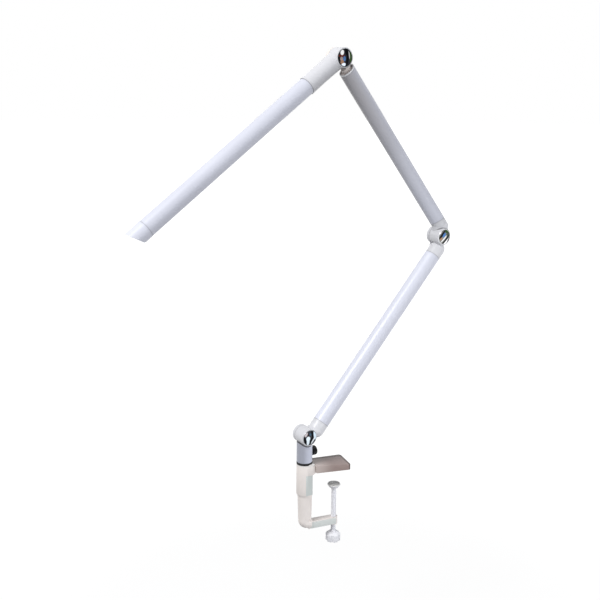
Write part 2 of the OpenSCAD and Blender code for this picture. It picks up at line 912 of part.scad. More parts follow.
module upper_tube() {
    rim_z = upper_arm_len - neck_len;
    slope = atan2(rim_fall, upper_tube_d);
    color(tube_colour) at_upper() translate([upper_off, 0, 0]) difference() {
        translate([0, 0, upper_nose_len])
            cylinder(h = rim_z + rim_fall - upper_nose_len, r = upper_r);
        translate([0, 0, upper_nose_len - overrun])
            cylinder(h = rim_z + 2 * (rim_fall + overrun) - upper_nose_len, r = upper_r - tube_wall);
        translate([0, 0, rim_z]) rotate([0, -slope, 0])
            translate([-upper_tube_d, -upper_tube_d, 0])
                cube([2 * upper_tube_d, 2 * upper_tube_d, upper_tube_d]);
    }
}

// Neck of the head hinge: a plug low in the tube, the round neck, and a foot out to the rear ear
module head_fork() {
    plug_top = -neck_len - rim_fall;
    foot_z = -neck_len + rim_fall * neck_d / upper_tube_d / 2 + 2 * fit;
    color(shell_colour) at_neck() difference() {
        union() {
            difference() {
                union() {
                    translate([0, 0, plug_top - plug_len])
                        cylinder(h = plug_len, r = upper_r - tube_wall - plug_fit);
                    translate([0, 0, plug_top - overrun])
                        cylinder(h = overrun - plug_top, d = neck_d);
                    intersection() {
                        translate([foot_start, 0, foot_z]) cube([foot_w, upper_r, -foot_z]);
                        translate([0, 0, foot_z]) cylinder(h = -foot_z, r = upper_r);
                    }
                }
                barrel_relief(head_hinge_d);
                sleeve_relief();
            }
            ear_body(head_hinge_d);
        }
        ear_holes();
        translate([0, 0, plug_top - plug_len - overrun])
            cylinder(h = plug_len + overrun, d = lead_hole_d);
    }
}

// Room in front of the ear for the sleeve at the furthest turn of the head
module sleeve_relief() {
    room = sleeve_d / 2 + hinge_relief;
    rotate([0, -head_turn_max, 0])
        translate([-room, -sleeve_d, -room / 5])
            cube([2 * sleeve_d, sleeve_d + ear_y + face_gap, 2 * sleeve_d]);
}

module upper_lead() {
    lead_top = upper_arm_len - neck_len - rim_fall - face_gap;
    color(rubber) at_upper() translate([upper_off, 0, nose_len + face_gap])
        cylinder(h = lead_top - nose_len - face_gap, d = lead_d);
}

module head_washer() {
    at_neck() hinge_washer();
}

module head_spring() {
    at_neck() hinge_spring();
}

module head_bolt() {
    at_neck() hinge_bolt();
}

module head_nut() {
    at_neck() hinge_nut();
}

module head_plug() {
    at_neck() hinge_plug();
}

// What lies above the flat of the head tube, so that plugs leave room for the diffuser
module above_diffuser(len) {
    translate([-plug_x, -head_r, 0]) cube([plug_x + head_r, 2 * head_r, len]);
}

module head_sleeve() {
    waist_z = sleeve_len * waist_share;
    color(shell_colour) at_head() difference() {
        union() {
            barrel_body(head_hinge_d);
            cylinder(h = waist_z, d1 = sleeve_d, d2 = waist_d);
            translate([0, 0, waist_z])
                cylinder(h = sleeve_len - waist_z, d1 = waist_d, d2 = sleeve_end_d);
            intersection() {
                translate([0, 0, waist_z])
                    cylinder(h = sleeve_len + plug_len - waist_z, r = head_plug_r);
                translate([0, 0, waist_z]) above_diffuser(sleeve_len);
            }
        }
        ear_relief(head_hinge_d);
        barrel_holes();
        translate([0, 0, bay_start])
            cylinder(h = sleeve_len + plug_len - bay_start + overrun, d = bay_d);
    }
}

module head_cap() {
    at_head() hinge_cap();
}

module driver_board() {
    part_w = driver_w / 2;
    part_h = driver_w / 4;
    color("darkgreen") at_head() translate([0, 0, driver_start]) {
        translate([-driver_t / 2, -driver_w / 2, 0]) cube([driver_t, driver_w, driver_len]);
        translate([driver_t / 2, -part_w / 2, driver_len / 8]) cube([part_h, part_w, part_w]);
        translate([driver_t / 2, -part_w / 2, driver_len / 2]) cube([part_h / 2, part_w, part_h]);
        translate([-driver_t / 2, 0, driver_len * 3 / 4])
            rotate([0, -90, 0]) cylinder(h = part_h, d = part_h);
    }
}

module head_tube() {
    tube_len = head_len - sleeve_len;
    color(tube_colour) at_head() translate([0, 0, sleeve_len]) linear_extrude(tube_len)
        difference() {
            circle(head_r);
            difference() {
                circle(head_in_r);
                for (side = [-1, 1])
                    translate([-board_x - board_t - ledge_t, side * (ledge_in + head_r / 2) - head_r / 2])
                        square([ledge_t, head_r]);
            }
            translate([-2 * head_r, -head_r]) square([2 * head_r - flat_x, 2 * head_r]);
        }
}

module led_board() {
    start = sleeve_len + plug_len + board_end_gap;
    board_len = head_len - cap_plug_len - board_end_gap - start;
    color("white") at_head() translate([-board_x - board_t + face_gap, -board_w / 2, start])
        cube([board_t - face_gap, board_w, board_len]);
}

module leds() {
    start = sleeve_len + plug_len + board_end_gap + led_pitch / 2;
    count = floor((head_len - cap_plug_len - board_end_gap - start) / led_pitch);
    color("gold") at_head() for (i = [0 : count - 1])
        translate([-board_x - board_t - led_t, -led_w / 2, start + i * led_pitch - led_w / 2])
            cube([led_t, led_w, led_w]);
}

module diffuser() {
    color(opal) at_head() translate([0, 0, sleeve_len + face_gap])
        linear_extrude(head_len - sleeve_len - 2 * face_gap) intersection() {
            circle(head_in_r - running);
            translate([-flat_x, -head_r]) square([diffuser_t, 2 * head_r]);
        }
}

module end_cap() {
    slope = atan2(tip_long - tip_short, head_tube_d);
    mid = (tip_long + tip_short) / 2;
    color(shell_colour) at_head() translate([0, 0, head_len]) {
        difference() {
            cylinder(h = tip_long, r = head_r);
            translate([0, 0, mid]) rotate([0, -slope, 0])
                translate([-tip_long * 2, -tip_long * 2, 0])
                    cube([tip_long * 4, tip_long * 4, tip_long]);
            tip_corner();
        }
        intersection() {
            translate([0, 0, -cap_plug_len]) cylinder(h = cap_plug_len, r = head_plug_r);
            translate([0, 0, -cap_plug_len]) above_diffuser(cap_plug_len);
        }
    }
}

// Material outside the rounded lower corner of the end cap
module tip_corner() {
    rotate([90, 0, 0]) linear_extrude(4 * head_r, center = true) difference() {
        translate([-head_r - tip_round, tip_short - tip_round]) square([2 * tip_round, 3 * tip_round]);
        translate([-head_r + tip_round, tip_short - tip_round]) circle(tip_round);
        translate([-head_r + tip_round, 0]) square([tip_round, 2 * tip_short]);
    }
}

clamp_frame();
clamp_sleeve();
sleeve_screw();
jaw_cover();
jaw_screws();
jaw_pad();
post_pin();
base_ring();
screw_pad();
screw_pad_rubber();
clamp_screw();
clamp_knob();
post();
thumb_insert();
power_inlet();
base_washer();
base_spring();
base_bolt();
base_nut();
base_plug();
thumb_tip();
thumb_screw();
thumb_knob();
lower_knuckle();
base_cap();
lower_tube();
lower_fork();
lower_lead();
elbow_washer();
elbow_spring();
elbow_bolt();
elbow_nut();
elbow_plug();
upper_knuckle();
elbow_cap();
upper_tube();
head_fork();
upper_lead();
head_washer();
head_spring();
head_bolt();
head_nut();
head_plug();
head_sleeve();
head_cap();
driver_board();
head_tube();
led_board();
leds();
diffuser();
end_cap();
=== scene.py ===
"""Looks of a folding clamp lamp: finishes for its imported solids, finer pieces over some of them, and a
plain pale stage with the camera where the photograph was taken."""

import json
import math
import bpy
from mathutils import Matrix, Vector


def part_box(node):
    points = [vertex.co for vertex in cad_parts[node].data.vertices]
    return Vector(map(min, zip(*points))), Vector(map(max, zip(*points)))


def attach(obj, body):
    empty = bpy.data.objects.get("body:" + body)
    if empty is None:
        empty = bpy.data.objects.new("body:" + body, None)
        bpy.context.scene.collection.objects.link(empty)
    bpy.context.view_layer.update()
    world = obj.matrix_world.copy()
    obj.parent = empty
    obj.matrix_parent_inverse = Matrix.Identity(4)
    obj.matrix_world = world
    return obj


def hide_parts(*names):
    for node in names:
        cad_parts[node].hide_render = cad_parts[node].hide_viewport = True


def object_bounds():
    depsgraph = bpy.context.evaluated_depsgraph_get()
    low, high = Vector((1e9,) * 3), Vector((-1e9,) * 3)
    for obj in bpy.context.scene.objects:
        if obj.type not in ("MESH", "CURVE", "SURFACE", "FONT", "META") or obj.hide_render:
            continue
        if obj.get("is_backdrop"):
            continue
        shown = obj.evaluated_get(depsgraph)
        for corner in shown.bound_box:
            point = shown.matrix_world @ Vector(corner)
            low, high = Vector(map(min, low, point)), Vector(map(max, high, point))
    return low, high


bl_info = {
    "name": "Folding Clamp Lamp",
    "version": (1, 0, 0),
    "blender": (4, 5, 0),
    "location": "3D View > Sidebar > Clamp Lamp",
    "description": "Dresses the packed solids of a folding clamp lamp",
    "category": "Object",
}

import bmesh
import bpy
from mathutils import Matrix, Vector

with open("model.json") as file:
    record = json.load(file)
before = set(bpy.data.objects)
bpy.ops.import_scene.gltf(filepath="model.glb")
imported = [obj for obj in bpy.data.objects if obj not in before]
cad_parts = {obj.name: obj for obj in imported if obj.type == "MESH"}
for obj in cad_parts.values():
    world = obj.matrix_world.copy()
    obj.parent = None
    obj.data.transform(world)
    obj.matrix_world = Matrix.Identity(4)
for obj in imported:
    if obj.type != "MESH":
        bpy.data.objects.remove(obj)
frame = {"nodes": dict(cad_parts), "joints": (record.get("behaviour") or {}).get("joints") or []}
NODES = frame["nodes"]
JOINTS = {joint["name"]: joint for joint in frame["joints"]}
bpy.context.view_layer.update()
MM = 0.001

# The pose in which the lamp is packed, in degrees
SWIVEL = 12.0
LEAN = 42.0
ELBOW_TURN = 80.5
HEAD_TURN = 86.8


def at(origin, lean):
    """The frame of one member: Z runs along its tube, and -Y looks out of its bright cap."""
    turn = Matrix.Rotation(math.radians(SWIVEL), 4, "Z") @ Matrix.Rotation(math.radians(lean), 4, "Y")
    return Matrix.Translation(Vector(origin)) @ turn


POST = at(JOINTS["base_tilt"]["pos_m"], 0)
LOWER = at(JOINTS["base_tilt"]["pos_m"], LEAN)
ELBOW = at(JOINTS["elbow_fold"]["pos_m"], LEAN)
UPPER = at(JOINTS["elbow_fold"]["pos_m"], LEAN - ELBOW_TURN)
NECK = at(JOINTS["head_tilt"]["pos_m"], LEAN - ELBOW_TURN)
HEAD = at(JOINTS["head_tilt"]["pos_m"], LEAN - ELBOW_TURN - HEAD_TURN)
CLAMP = Matrix.Translation((JOINTS["post_swivel"]["pos_m"][0], 0, 0))
OUT_OF_CAP = Matrix.Rotation(math.radians(90), 4, "X")
OUT_OF_BACK = Matrix.Rotation(math.radians(-90), 4, "X")
OUT_OF_SIDE = Matrix.Rotation(math.radians(90), 4, "Y")
# How far the axes of the lower and the upper tube stand from their hinges, along X of their members
LOWER_ASIDE = 13.2 * MM
UPPER_ASIDE = 12.6 * MM
# A bright cap's radius in millimetres, and its seat on the hinge's axis
CAP_RADIUS = 12.7
CAP_SEAT = Matrix.Translation((0, -14.5 * MM, 0))
# The jaw cover in metres: its ends, its half width at the near end, and what that gains with X; then its
# top's near end and height there, and what that loses with X
JAW_NEAR, JAW_FAR, JAW_HALF, JAW_GAIN = -0.0291, 0.030, 0.015, 6.5 / 59.1
JAW_TOP, JAW_FALL = (-0.0288, 0, 0.0144), 4.8 / 58.8
# A hinge's round face, and the gap between its barrel and its ear
BARREL_RADIUS = 14.0 * MM
HINGE_GAP = 7.2 * MM
# Depths in millimetres: thumb knob and power inlet under the base hinge, and the sleeve's screw
KNOB_DEPTH, INLET_DEPTH, SLEEVE_SCREW_DEPTH = 30, 20.8, 24
SCREW_AXIS = Matrix.Translation((10 * MM, 0, 0))
# Place of the camera from the base hinge: to the right, up and ahead, before the roll of its view
CAMERA_OFFSET = (-0.008821, 0.211685, -1.466349)
# Seams: member, height on it in millimetres and, where it slants, its fall along the member's X and Y
LOWER_SEAMS = ((LOWER, 31.5), (LOWER, 361.0))
UPPER_SEAM = (UPPER, 25.0, (0.27, 0.37))
HEAD_SEAMS = ((HEAD, 69.0), (HEAD, 382.7))


def srgb(red, green, blue):
    """A colour as it looks on screen, 0 to 255, as the linear values that a shader takes."""
    return tuple(
        c / 12.92 if c <= 0.04045 else ((c + 0.055) / 1.055) ** 2.4
        for c in (red / 255, green / 255, blue / 255)
    )


def colour(label, about, value):
    return bpy.props.FloatVectorProperty(
        name=label, description=about, default=value, subtype="COLOR", size=3, min=0.0, max=1.0
    )


def length(label, about, value):
    return bpy.props.FloatProperty(
        name=label, description=about, default=value, subtype="DISTANCE", unit="LENGTH", min=0.0, precision=5
    )


def count(label, about, value, low, high):
    return bpy.props.IntProperty(name=label, description=about, default=value, min=low, max=high)


def angle(label, about, degrees):
    return bpy.props.FloatProperty(
        name=label, description=about, default=math.radians(degrees), subtype="ANGLE"
    )


class LampColours(bpy.types.PropertyGroup):
    """Colours of the lamp's finishes"""

    tube: colour("Tubes", "Enamel on the three tubes", srgb(227, 229, 241))
    fitting: colour("Fittings", "Enamel on the hinge castings and end pieces", srgb(229, 229, 233))
    post: colour("Post", "Enamel on the swivelling post", srgb(174, 177, 190))
    clamp: colour("Clamp", "Moulded shell and casting of the clamp", srgb(251, 243, 238))
    jaw: colour("Jaw cover", "Moulded cover of the upper jaw", srgb(156, 138, 133))
    black: colour("Black mouldings", "Ring, thumb knob and power socket", srgb(18, 18, 21))
    rubber: colour("Rubber", "Pads that grip the desk", srgb(52, 52, 55))
    pale_rubber: colour("Pale rubber", "Pad on the clamp screw", srgb(246, 245, 242))
    diffuser: colour("Diffuser", "Opal strip under the head tube", srgb(240, 241, 243))


class LampSizes(bpy.types.PropertyGroup):
    """Sizes of the finer pieces"""

    cap_rise: length("Cap rise", "Height of a bright cap's dome", 1.2 * MM)
    cap_rim: length("Cap rim", "Width of the rolled rim of a bright cap", 0.9 * MM)
    soft_edge: length("Edge radius", "Rounding of the moulded edges of the clamp", 0.7 * MM)
    cast_edge: length("Casting edge", "Rounding of the edges of the hinge castings", 0.35 * MM)
    thread_pitch: length("Thread pitch", "Rise of the clamp screw in one turn", 1.25 * MM)
    thread_depth: length("Thread depth", "Height of the clamp screw's thread", 0.55 * MM)
    knurls: count("Knurls", "Ridges round the thumb knob", 48, 24, 96)
    pad_ribs: count("Pad ribs", "Ribs across the pad of the upper jaw", 13, 5, 25)


class StageSettings(bpy.types.PropertyGroup):
    """Camera, floor and lamps"""

    lens: bpy.props.FloatProperty(
        name="Lens", description="Focal length on a 36 mm frame", default=56.013, min=20, unit="CAMERA"
    )
    azimuth: angle("Azimuth", "Direction of view from +Y", 22.04)
    pitch: angle("Pitch", "Tilt of the camera below level", 14.74)
    roll: angle("Roll", "Turn of the camera about its view", 0.433)
    key_power: bpy.props.FloatProperty(
        name="Key lamp", description="Power of the soft lamp above the left", default=78.0, unit="POWER"
    )
    floor_drop: length("Floor below", "Room under the clamp, for the head when the arms hang down", 0.26)
    sky: bpy.props.FloatProperty(
        name="Sky", description="Strength of the even light from all round", default=0.34, min=0.0
    )


def maths(operation, swapped=False):
    """A method that adds one Math node. Swapped puts the other number first."""

    def method(self, *others):
        parts = (*others, self) if swapped else (self, *others)
        made = self.recipe.node("Math", dict(enumerate(parts)), operation=operation)
        return Value(self.recipe, made.outputs[0])

    return method


class Value:
    """A socket of numbers, on which Python's operators add Math nodes."""

    def __init__(self, recipe, socket):
        self.recipe = recipe
        self.socket = socket

    __add__ = maths("ADD")
    __radd__ = maths("ADD", swapped=True)
    __sub__ = maths("SUBTRACT")
    __rsub__ = maths("SUBTRACT", swapped=True)
    __mul__ = maths("MULTIPLY")
    __rmul__ = maths("MULTIPLY", swapped=True)
    __truediv__ = maths("DIVIDE")
    __pow__ = maths("POWER")
    __abs__ = maths("ABSOLUTE")
    wave = maths("SINE")
    least = maths("MINIMUM")
    most = maths("MAXIMUM")

    def fade(self, start, end):
        """0 at start and 1 at end, eased between them and held beyond them."""
        made = self.recipe.node(
            "MapRange",
            {"Value": self, "From Min": start, "From Max": end, "To Min": 0.0, "To Max": 1.0},
            interpolation_type="SMOOTHSTEP",
            clamp=True,
        )
        return Value(self.recipe, made.outputs["Result"])


class Recipe:
    """One material or world, built node by node."""

    def __init__(self, holder, output="OutputMaterial"):
        holder.use_nodes = True
        self.holder = holder
        self.tree = holder.node_tree
        self.tree.nodes.clear()
        self.output = self.node(output)
        self.spot = self.node("TexCoord").outputs["Object"]

    def node(self, kind, inputs=None, **settings):
        """Adds a node, with its settings first and then the values or links of its sockets."""
        made = self.tree.nodes.new("ShaderNode" + kind)
        for key, value in settings.items():
            setattr(made, key, value)
        for key, value in (inputs or {}).items():
            socket = made.inputs[key]
            value = value.socket if isinstance(value, Value) else value
            if isinstance(value, bpy.types.NodeSocket):
                self.tree.links.new(value, socket)
            elif hasattr(socket.default_value, "__len__") and len(value) < len(socket.default_value):
                socket.default_value = (*value, 1.0)
            else:
                socket.default_value = value
        return made

    def across(self, direction, origin):
        """Distance of the surface from a point, measured along one direction."""
        direction = Vector(direction).to_3d().normalized()
        made = self.node("VectorMath", {0: self.spot, 1: tuple(direction)}, operation="DOT_PRODUCT")
        return Value(self, made.outputs["Value"]) - direction.dot(Vector(origin))

    def off(self, member, axis):
        """Distance from the origin of a member, along one of its axes."""
        return self.across(member.col[axis], member.translation)

    def noise(self, scale, detail=3.0, stretch=None):
        """Even noise between 0 and 1. Stretch scales its pattern along the object's axes."""
        spot = self.spot
        if stretch:
            spot = self.node("Mapping", {"Vector": spot, "Scale": stretch}).outputs[0]
        inputs = {"Vector": spot, "Scale": scale, "Detail": detail, "Roughness": 0.55}
        return Value(self, self.node("TexNoise", inputs).outputs[0])

    def specks(self, scale, size):
        """Small round specks, 1 inside and 0 outside."""
        made = self.node("TexVoronoi", {"Vector": self.spot, "Scale": scale})
        return 1 - Value(self, made.outputs["Distance"]).fade(size * 0.6, size)

    def mixed(self, factor, first, second):
        """One colour laid over another by a factor."""
        inputs = {0: factor, 6: first, 7: second}
        return self.node("Mix", inputs, data_type="RGBA", clamp_factor=True).outputs[2]

    def bump(self, height, depth):
        """Surface relief: height times depth, in metres."""
        inputs = {"Height": height, "Distance": depth, "Strength": 1.0}
        return self.node("Bump", inputs).outputs["Normal"]

    def surface(self, **sockets):
        """Ends the recipe in a Principled shader, and returns its material."""
        names = {key: key.replace("_", " ").title().replace("Ior", "IOR") for key in sockets}
        inputs = {names[key]: value for key, value in sockets.items()}
        return self.end(self.node("BsdfPrincipled", inputs))

    def end(self, shader):
        """Links the last shader to the output, and returns the material or world."""
        self.tree.links.new(shader.outputs[0], self.output.inputs["Surface"])
        return self.holder


def finish(name):
    """Starts the recipe of a new material."""
    return Recipe(bpy.data.materials.new(name))


def toned(tint, factor):
    """A colour made lighter or darker by a factor."""
    return tuple(min(1.0, c * factor) for c in tint)


def reach(first, second):
    """Distance of the surface from a line, out of its distances from two planes through that line."""
    return (first * first + second * second) ** 0.5


def seam_distance(r, member, height, slant=(0, 0)):
    """Height over a seam round a member, level or slanting."""
    direction = member.to_3x3() @ Vector((*slant, 1))
    return r.across(direction, member @ Vector((0, 0, height * MM)))


def enamel(name, tint, seams=(), zones=()):
    """Sprayed enamel: nearly even, with faint clouding, orange peel and a fine shadow line at each seam.
    Each zone is a factor over the surface and the tint that it has there."""
    r = finish(name)
    clouds = r.noise(9.0, 2.0)
    fine = r.noise(160.0, 3.0)
    base = r.mixed(clouds.fade(0.3, 0.7), toned(tint, 0.965), toned(tint, 1.02))
    dust = r.specks(240.0, 0.05) * fine.fade(0.52, 0.6)
    base = r.mixed(dust * 0.25, base, toned(tint, 0.72))
    for place, paint in zones:
        base = r.mixed(place(r), base, paint)
    shadow = None
    for seam in seams:
        gap = abs(seam_distance(r, *seam))
        line = 1 - gap.fade(0.00012, 0.0005)
        soft = (1 - gap.fade(0.0003, 0.0035)) * 0.16
        both = line.most(soft)
        shadow = shadow.most(both) if shadow else both
    if shadow:
        base = r.mixed(shadow * 0.75, base, toned(tint, 0.30))
    peel = r.noise(900.0, 2.0)
    return r.surface(
        base_color=base,
        roughness=0.32 + fine * 0.06 - clouds * 0.03,
        normal=r.bump(peel, 0.0000025),
        specular_ior_level=0.42,
        coat_weight=0.12,
        coat_roughness=0.12,
    )


def moulding(name, tint, shine=0.46, grain=0.00002, zones=()):
    """Moulded plastic: fine spark grain, faint flow clouds and a little rubbing. Zones are as in enamel."""
    r = finish(name)
    clouds = r.noise(22.0, 3.0)
    grit = r.noise(1700.0, 2.0)
    rub = r.noise(60.0, 5.0, stretch=(1.0, 1.0, 0.25)).fade(0.56, 0.72)
    base = r.mixed(clouds.fade(0.3, 0.7), toned(tint, 0.955), toned(tint, 1.03))
    base = r.mixed(rub * 0.22, base, toned(tint, 1.10))
    for place, paint in zones:
        base = r.mixed(place(r), base, paint)
    return r.surface(
        base_color=base,
        roughness=shine + grit * 0.10 - rub * 0.06,
        normal=r.bump(grit, grain),
        specular_ior_level=0.4,
    )


# What each cap mirrors, painted on it as a reflection: its ground, its edge, and patches given by their
# middle, half width and half height in shares of the radius, turn in degrees, tint and strength
WHITE, BLACK = srgb(250, 250, 252), srgb(12, 13, 16)
PAINTED_REFLECTIONS = {
    "head_cap": (
        srgb(44, 44, 50),
        srgb(28, 32, 32),
        (
            (0.84, 0.10, 0.26, 0.72, 4, srgb(52, 78, 38), 0.95),
            (0.56, 0.28, 0.07, 0.44, 8, srgb(204, 204, 208), 0.85),
            (0.20, 0.58, 0.24, 0.42, 15, BLACK, 0.95),
            (0.30, -0.25, 0.17, 0.74, -6, BLACK, 0.95),
            (-0.52, 0.20, 0.44, 0.13, 0, srgb(96, 36, 24), 0.9),
            (-0.42, 0.57, 0.22, 0.30, -15, WHITE, 0.95),
            (-0.86, -0.18, 0.14, 0.26, 0, BLACK, 0.95),
            (-0.52, -0.12, 0.18, 0.22, 0, srgb(158, 140, 138), 0.9),
            (-0.14, -0.12, 0.19, 0.28, 0, srgb(74, 112, 164), 0.95),
            (-0.42, -0.48, 0.22, 0.24, 0, srgb(150, 116, 92), 0.9),
            (-0.22, -0.80, 0.30, 0.20, 20, srgb(225, 235, 250), 0.95),
        ),
    ),
    "elbow_cap": (
        srgb(128, 130, 128),
        srgb(226, 226, 230),
        (
            (0.55, 0.25, 0.28, 0.42, -35, srgb(64, 74, 64), 0.9),
            (0.35, 0.72, 0.28, 0.26, 0, srgb(52, 84, 40), 0.95),
            (-0.42, 0.30, 0.17, 0.80, -42, BLACK, 0.95),
            (-0.70, 0.62, 0.16, 0.30, -42, srgb(228, 220, 228), 0.8),
            (-0.08, 0.24, 0.18, 0.34, -45, srgb(72, 120, 184), 0.95),
            (-0.58, -0.22, 0.14, 0.19, -40, srgb(166, 126, 98), 0.85),
            (-0.12, -0.26, 0.11, 0.62, -48, srgb(230, 230, 230), 0.9),
            (0.24, -0.36, 0.14, 0.90, -48, BLACK, 0.95),
            (0.34, -0.66, 0.12, 0.60, -48, WHITE, 0.95),
            (0.76, -0.42, 0.12, 0.40, -42, BLACK, 0.9),
        ),
    ),
    "base_cap": (
        srgb(60, 62, 68),
        srgb(160, 162, 166),
        (
            (-0.56, 0.52, 0.18, 0.30, -35, srgb(196, 188, 192), 0.85),
            (-0.20, 0.36, 0.24, 0.24, 0, srgb(52, 40, 40), 0.9),
            (0.02, 0.44, 0.16, 0.16, -30, srgb(64, 92, 112), 0.8),
            (-0.74, -0.20, 0.21, 0.72, 18, BLACK, 0.95),
            (-0.28, -0.06, 0.27, 0.30, 0, srgb(226, 240, 250), 0.95),
            (-0.29, -0.42, 0.19, 0.52, 0, srgb(226, 240, 250), 0.95),
            (0.34, 0.46, 0.17, 0.48, 10, BLACK, 0.95),
            (0.18, -0.34, 0.15, 0.62, -18, BLACK, 0.95),
            (0.74, 0.24, 0.20, 0.62, 5, srgb(206, 224, 238), 0.95),
            (0.46, -0.42, 0.10, 0.50, -35, srgb(232, 240, 246), 0.9),
            (0.70, -0.62, 0.10, 0.40, -38, BLACK, 0.9),
        ),
    ),
}


def plated(name, place, cap):
    """Polished plate on a cap: what it mirrors, painted in patches, with faint polishing marks."""
    r = finish(name)
    centre = (place @ CAP_SEAT).translation
    wobble = (r.noise(90.0, 2.0) - 0.5) * 0.06
    side = r.across(POST.col[0], centre) / (CAP_RADIUS * MM) + wobble
    rise = r.across(POST.col[2], centre) / (CAP_RADIUS * MM)
    ground, edge, patches = PAINTED_REFLECTIONS[cap]
    base = ground
    for middle, height, wide, tall, turn, paint, strength in patches:
        level, lift = math.cos(math.radians(turn)), math.sin(math.radians(turn))
        across = side * (level / wide) + rise * (lift / wide) - (middle * level + height * lift) / wide
        along = rise * (level / tall) - side * (lift / tall) - (height * level - middle * lift) / tall
        base = r.mixed((1 - (across * across + along * along).fade(0.6, 1.4)) * strength, base, paint)
    # Painted reflection round the cap's rim
    base = r.mixed(reach(side, rise).fade(0.91, 0.96), base, edge)
    marks = r.noise(2400.0, 2.0)
    return r.surface(
        base_color=base, metallic=1.0, roughness=0.10 + marks * 0.05, normal=r.bump(marks, 0.0000006)
    )


def bare_metal(name, tint, shine=0.3):
    """Plated steel or turned brass: fine machining marks and a few dull spots."""
    r = finish(name)
    marks = r.noise(1400.0, 3.0, stretch=(1.0, 1.0, 6.0))
    dull = r.noise(120.0, 4.0).fade(0.5, 0.75)
    base = r.mixed(dull * 0.5, tint, toned(tint, 0.72))
    rough = shine + marks * 0.12 + dull * 0.12
    return r.surface(base_color=base, metallic=1.0, roughness=rough, normal=r.bump(marks, 0.000002))


def soft_rubber(name, tint):
    """Matt rubber with bloom in its pores."""
    r = finish(name)
    pores = r.noise(1300.0, 3.0)
    bloom = r.noise(70.0, 4.0).fade(0.45, 0.7)
    base = r.mixed(bloom * 0.3, tint, tuple(c * 0.85 + 0.05 for c in tint))
    return r.surface(base_color=base, roughness=0.78 + pores * 0.12, normal=r.bump(pores, 0.00003))


def opal(name, tint):
    """Opal diffuser: milky, with fine ribs along it, the faint row of diodes behind it and painted shade
    along its long edges.
    """
    r = finish(name)
    along = r.off(HEAD, 2)
    wide = r.off(HEAD, 1)
    ribs = (wide * (2 * math.pi / 0.0011)).wave()
    spots = (along * (2 * math.pi / 0.012)).wave().fade(0.2, 1.0) * (1 - abs(wide).fade(0.001, 0.005))
    base = r.mixed(spots * 0.35, tint, srgb(250, 240, 205))
    # Painted shade along both long edges, where the diffuser sits in the lip of the head tube
    edge = abs(wide).fade(0.0068, 0.0092)
    base = r.mixed(edge * 0.5, base, toned(tint, 0.62))
    return r.surface(
        base_color=base,
        roughness=0.36 + r.noise(400.0) * 0.06,
        normal=r.bump(ribs, 0.00004),
        subsurface_weight=0.25,
        subsurface_scale=0.002,
    )


def board(name, tint, mark, pitch):
    """Circuit board: lacquer with pale tracks in a grid."""
    r = finish(name)
    along = r.off(HEAD, 2)
    wide = r.off(HEAD, 1)
    rows = (wide * (2 * math.pi / pitch)).wave().fade(0.86, 0.95)
    gaps = (along * (2 * math.pi / (pitch * 3.1))).wave().fade(-0.5, -0.2)
    base = r.mixed(rows * gaps * 0.7, tint, mark)
    haze = r.noise(300.0)
    return r.surface(base_color=base, roughness=0.34 + haze * 0.1, normal=r.bump(rows * gaps, 0.00003))


def deselect():
    """Leaves nothing selected, so that the next operator acts on the new piece alone."""
    if bpy.context.object and bpy.context.object.mode != "OBJECT":
        bpy.ops.object.mode_set(mode="OBJECT")
    bpy.ops.object.select_all(action="DESELECT")


def pick(piece, wanted):
    """Selects the vertices whose place passes the test, in edit mode."""
    mesh = bmesh.from_edit_mesh(piece.data)
    bpy.context.tool_settings.mesh_select_mode = (True, False, False)
    for element in (*mesh.faces, *mesh.edges, *mesh.verts):
        element.select = False
    for vertex in mesh.verts:
        vertex.select = bool(wanted(vertex.co))
    mesh.select_flush_mode()
    bmesh.update_edit_mesh(piece.data)


def first_ring(name, outline, sides):
    """Starts a piece with one ring at the first (radius, height) of its outline, in edit mode."""
    deselect()
    radius, height = outline[0]
    bpy.ops.mesh.primitive_circle_add(vertices=sides, radius=radius * MM, location=(0, 0, height * MM))
    piece = bpy.context.object
    piece.name = name
    bpy.ops.object.transform_apply(location=True, rotation=True, scale=True)
    bpy.ops.object.mode_set(mode="EDIT")
    return piece


def pull(outline, extrude):
    """Pulls what is selected through an outline, in millimetres, and ends the piece."""
    radius, height = outline[0]
    for next_radius, next_height in outline[1:]:
        extrude(TRANSFORM_OT_translate={"value": (0, 0, (next_height - height) * MM)})
        share = next_radius / radius
        bpy.ops.transform.resize(value=(share, share, 1), center_override=(0, 0, next_height * MM))
        radius, height = next_radius, next_height
    bpy.ops.mesh.select_all(action="SELECT")
    bpy.ops.mesh.remove_doubles(threshold=1e-7)
    bpy.ops.mesh.normals_make_consistent(inside=False)
    bpy.ops.object.mode_set(mode="OBJECT")


def turned(name, outline, sides=96, flutes=None):
    """A lathe-turned piece, closed at both ends.
    Flutes pull in every second vertex of the first ring by that share."""
    piece = first_ring(name, outline, sides)
    if flutes:
        pick(piece, lambda co: round(math.atan2(co.y, co.x) / (2 * math.pi / sides)) % 2 == 0)
        bpy.ops.transform.resize(value=(flutes, flutes, 1), center_override=(0, 0, 0))
    bpy.ops.mesh.select_all(action="SELECT")
    bpy.ops.mesh.edge_face_add()
    pick(piece, lambda co: True)
    pull(outline, bpy.ops.mesh.extrude_region_move)
    return piece


def ring(name, outline, sides):
    """A turned ring, whose outline ends where it starts."""
    piece = first_ring(name, outline, sides)
    bpy.context.tool_settings.mesh_select_mode = (False, True, False)
    bpy.ops.mesh.select_all(action="SELECT")
    pull(outline, bpy.ops.mesh.extrude_edges_move)
    return piece


def activate(*pieces):
    """Selects these pieces alone, with the first one active."""
    deselect()
    for piece in pieces:
        piece.select_set(True)
    bpy.context.view_layer.objects.active = pieces[0]


def apply(piece, kind, **settings):
    """Adds a modifier to a piece and applies it."""
    activate(piece)
    made = piece.modifiers.new(kind.title(), kind)
    for key, value in settings.items():
        setattr(made, key, value)
    bpy.ops.object.modifier_apply(modifier=made.name)


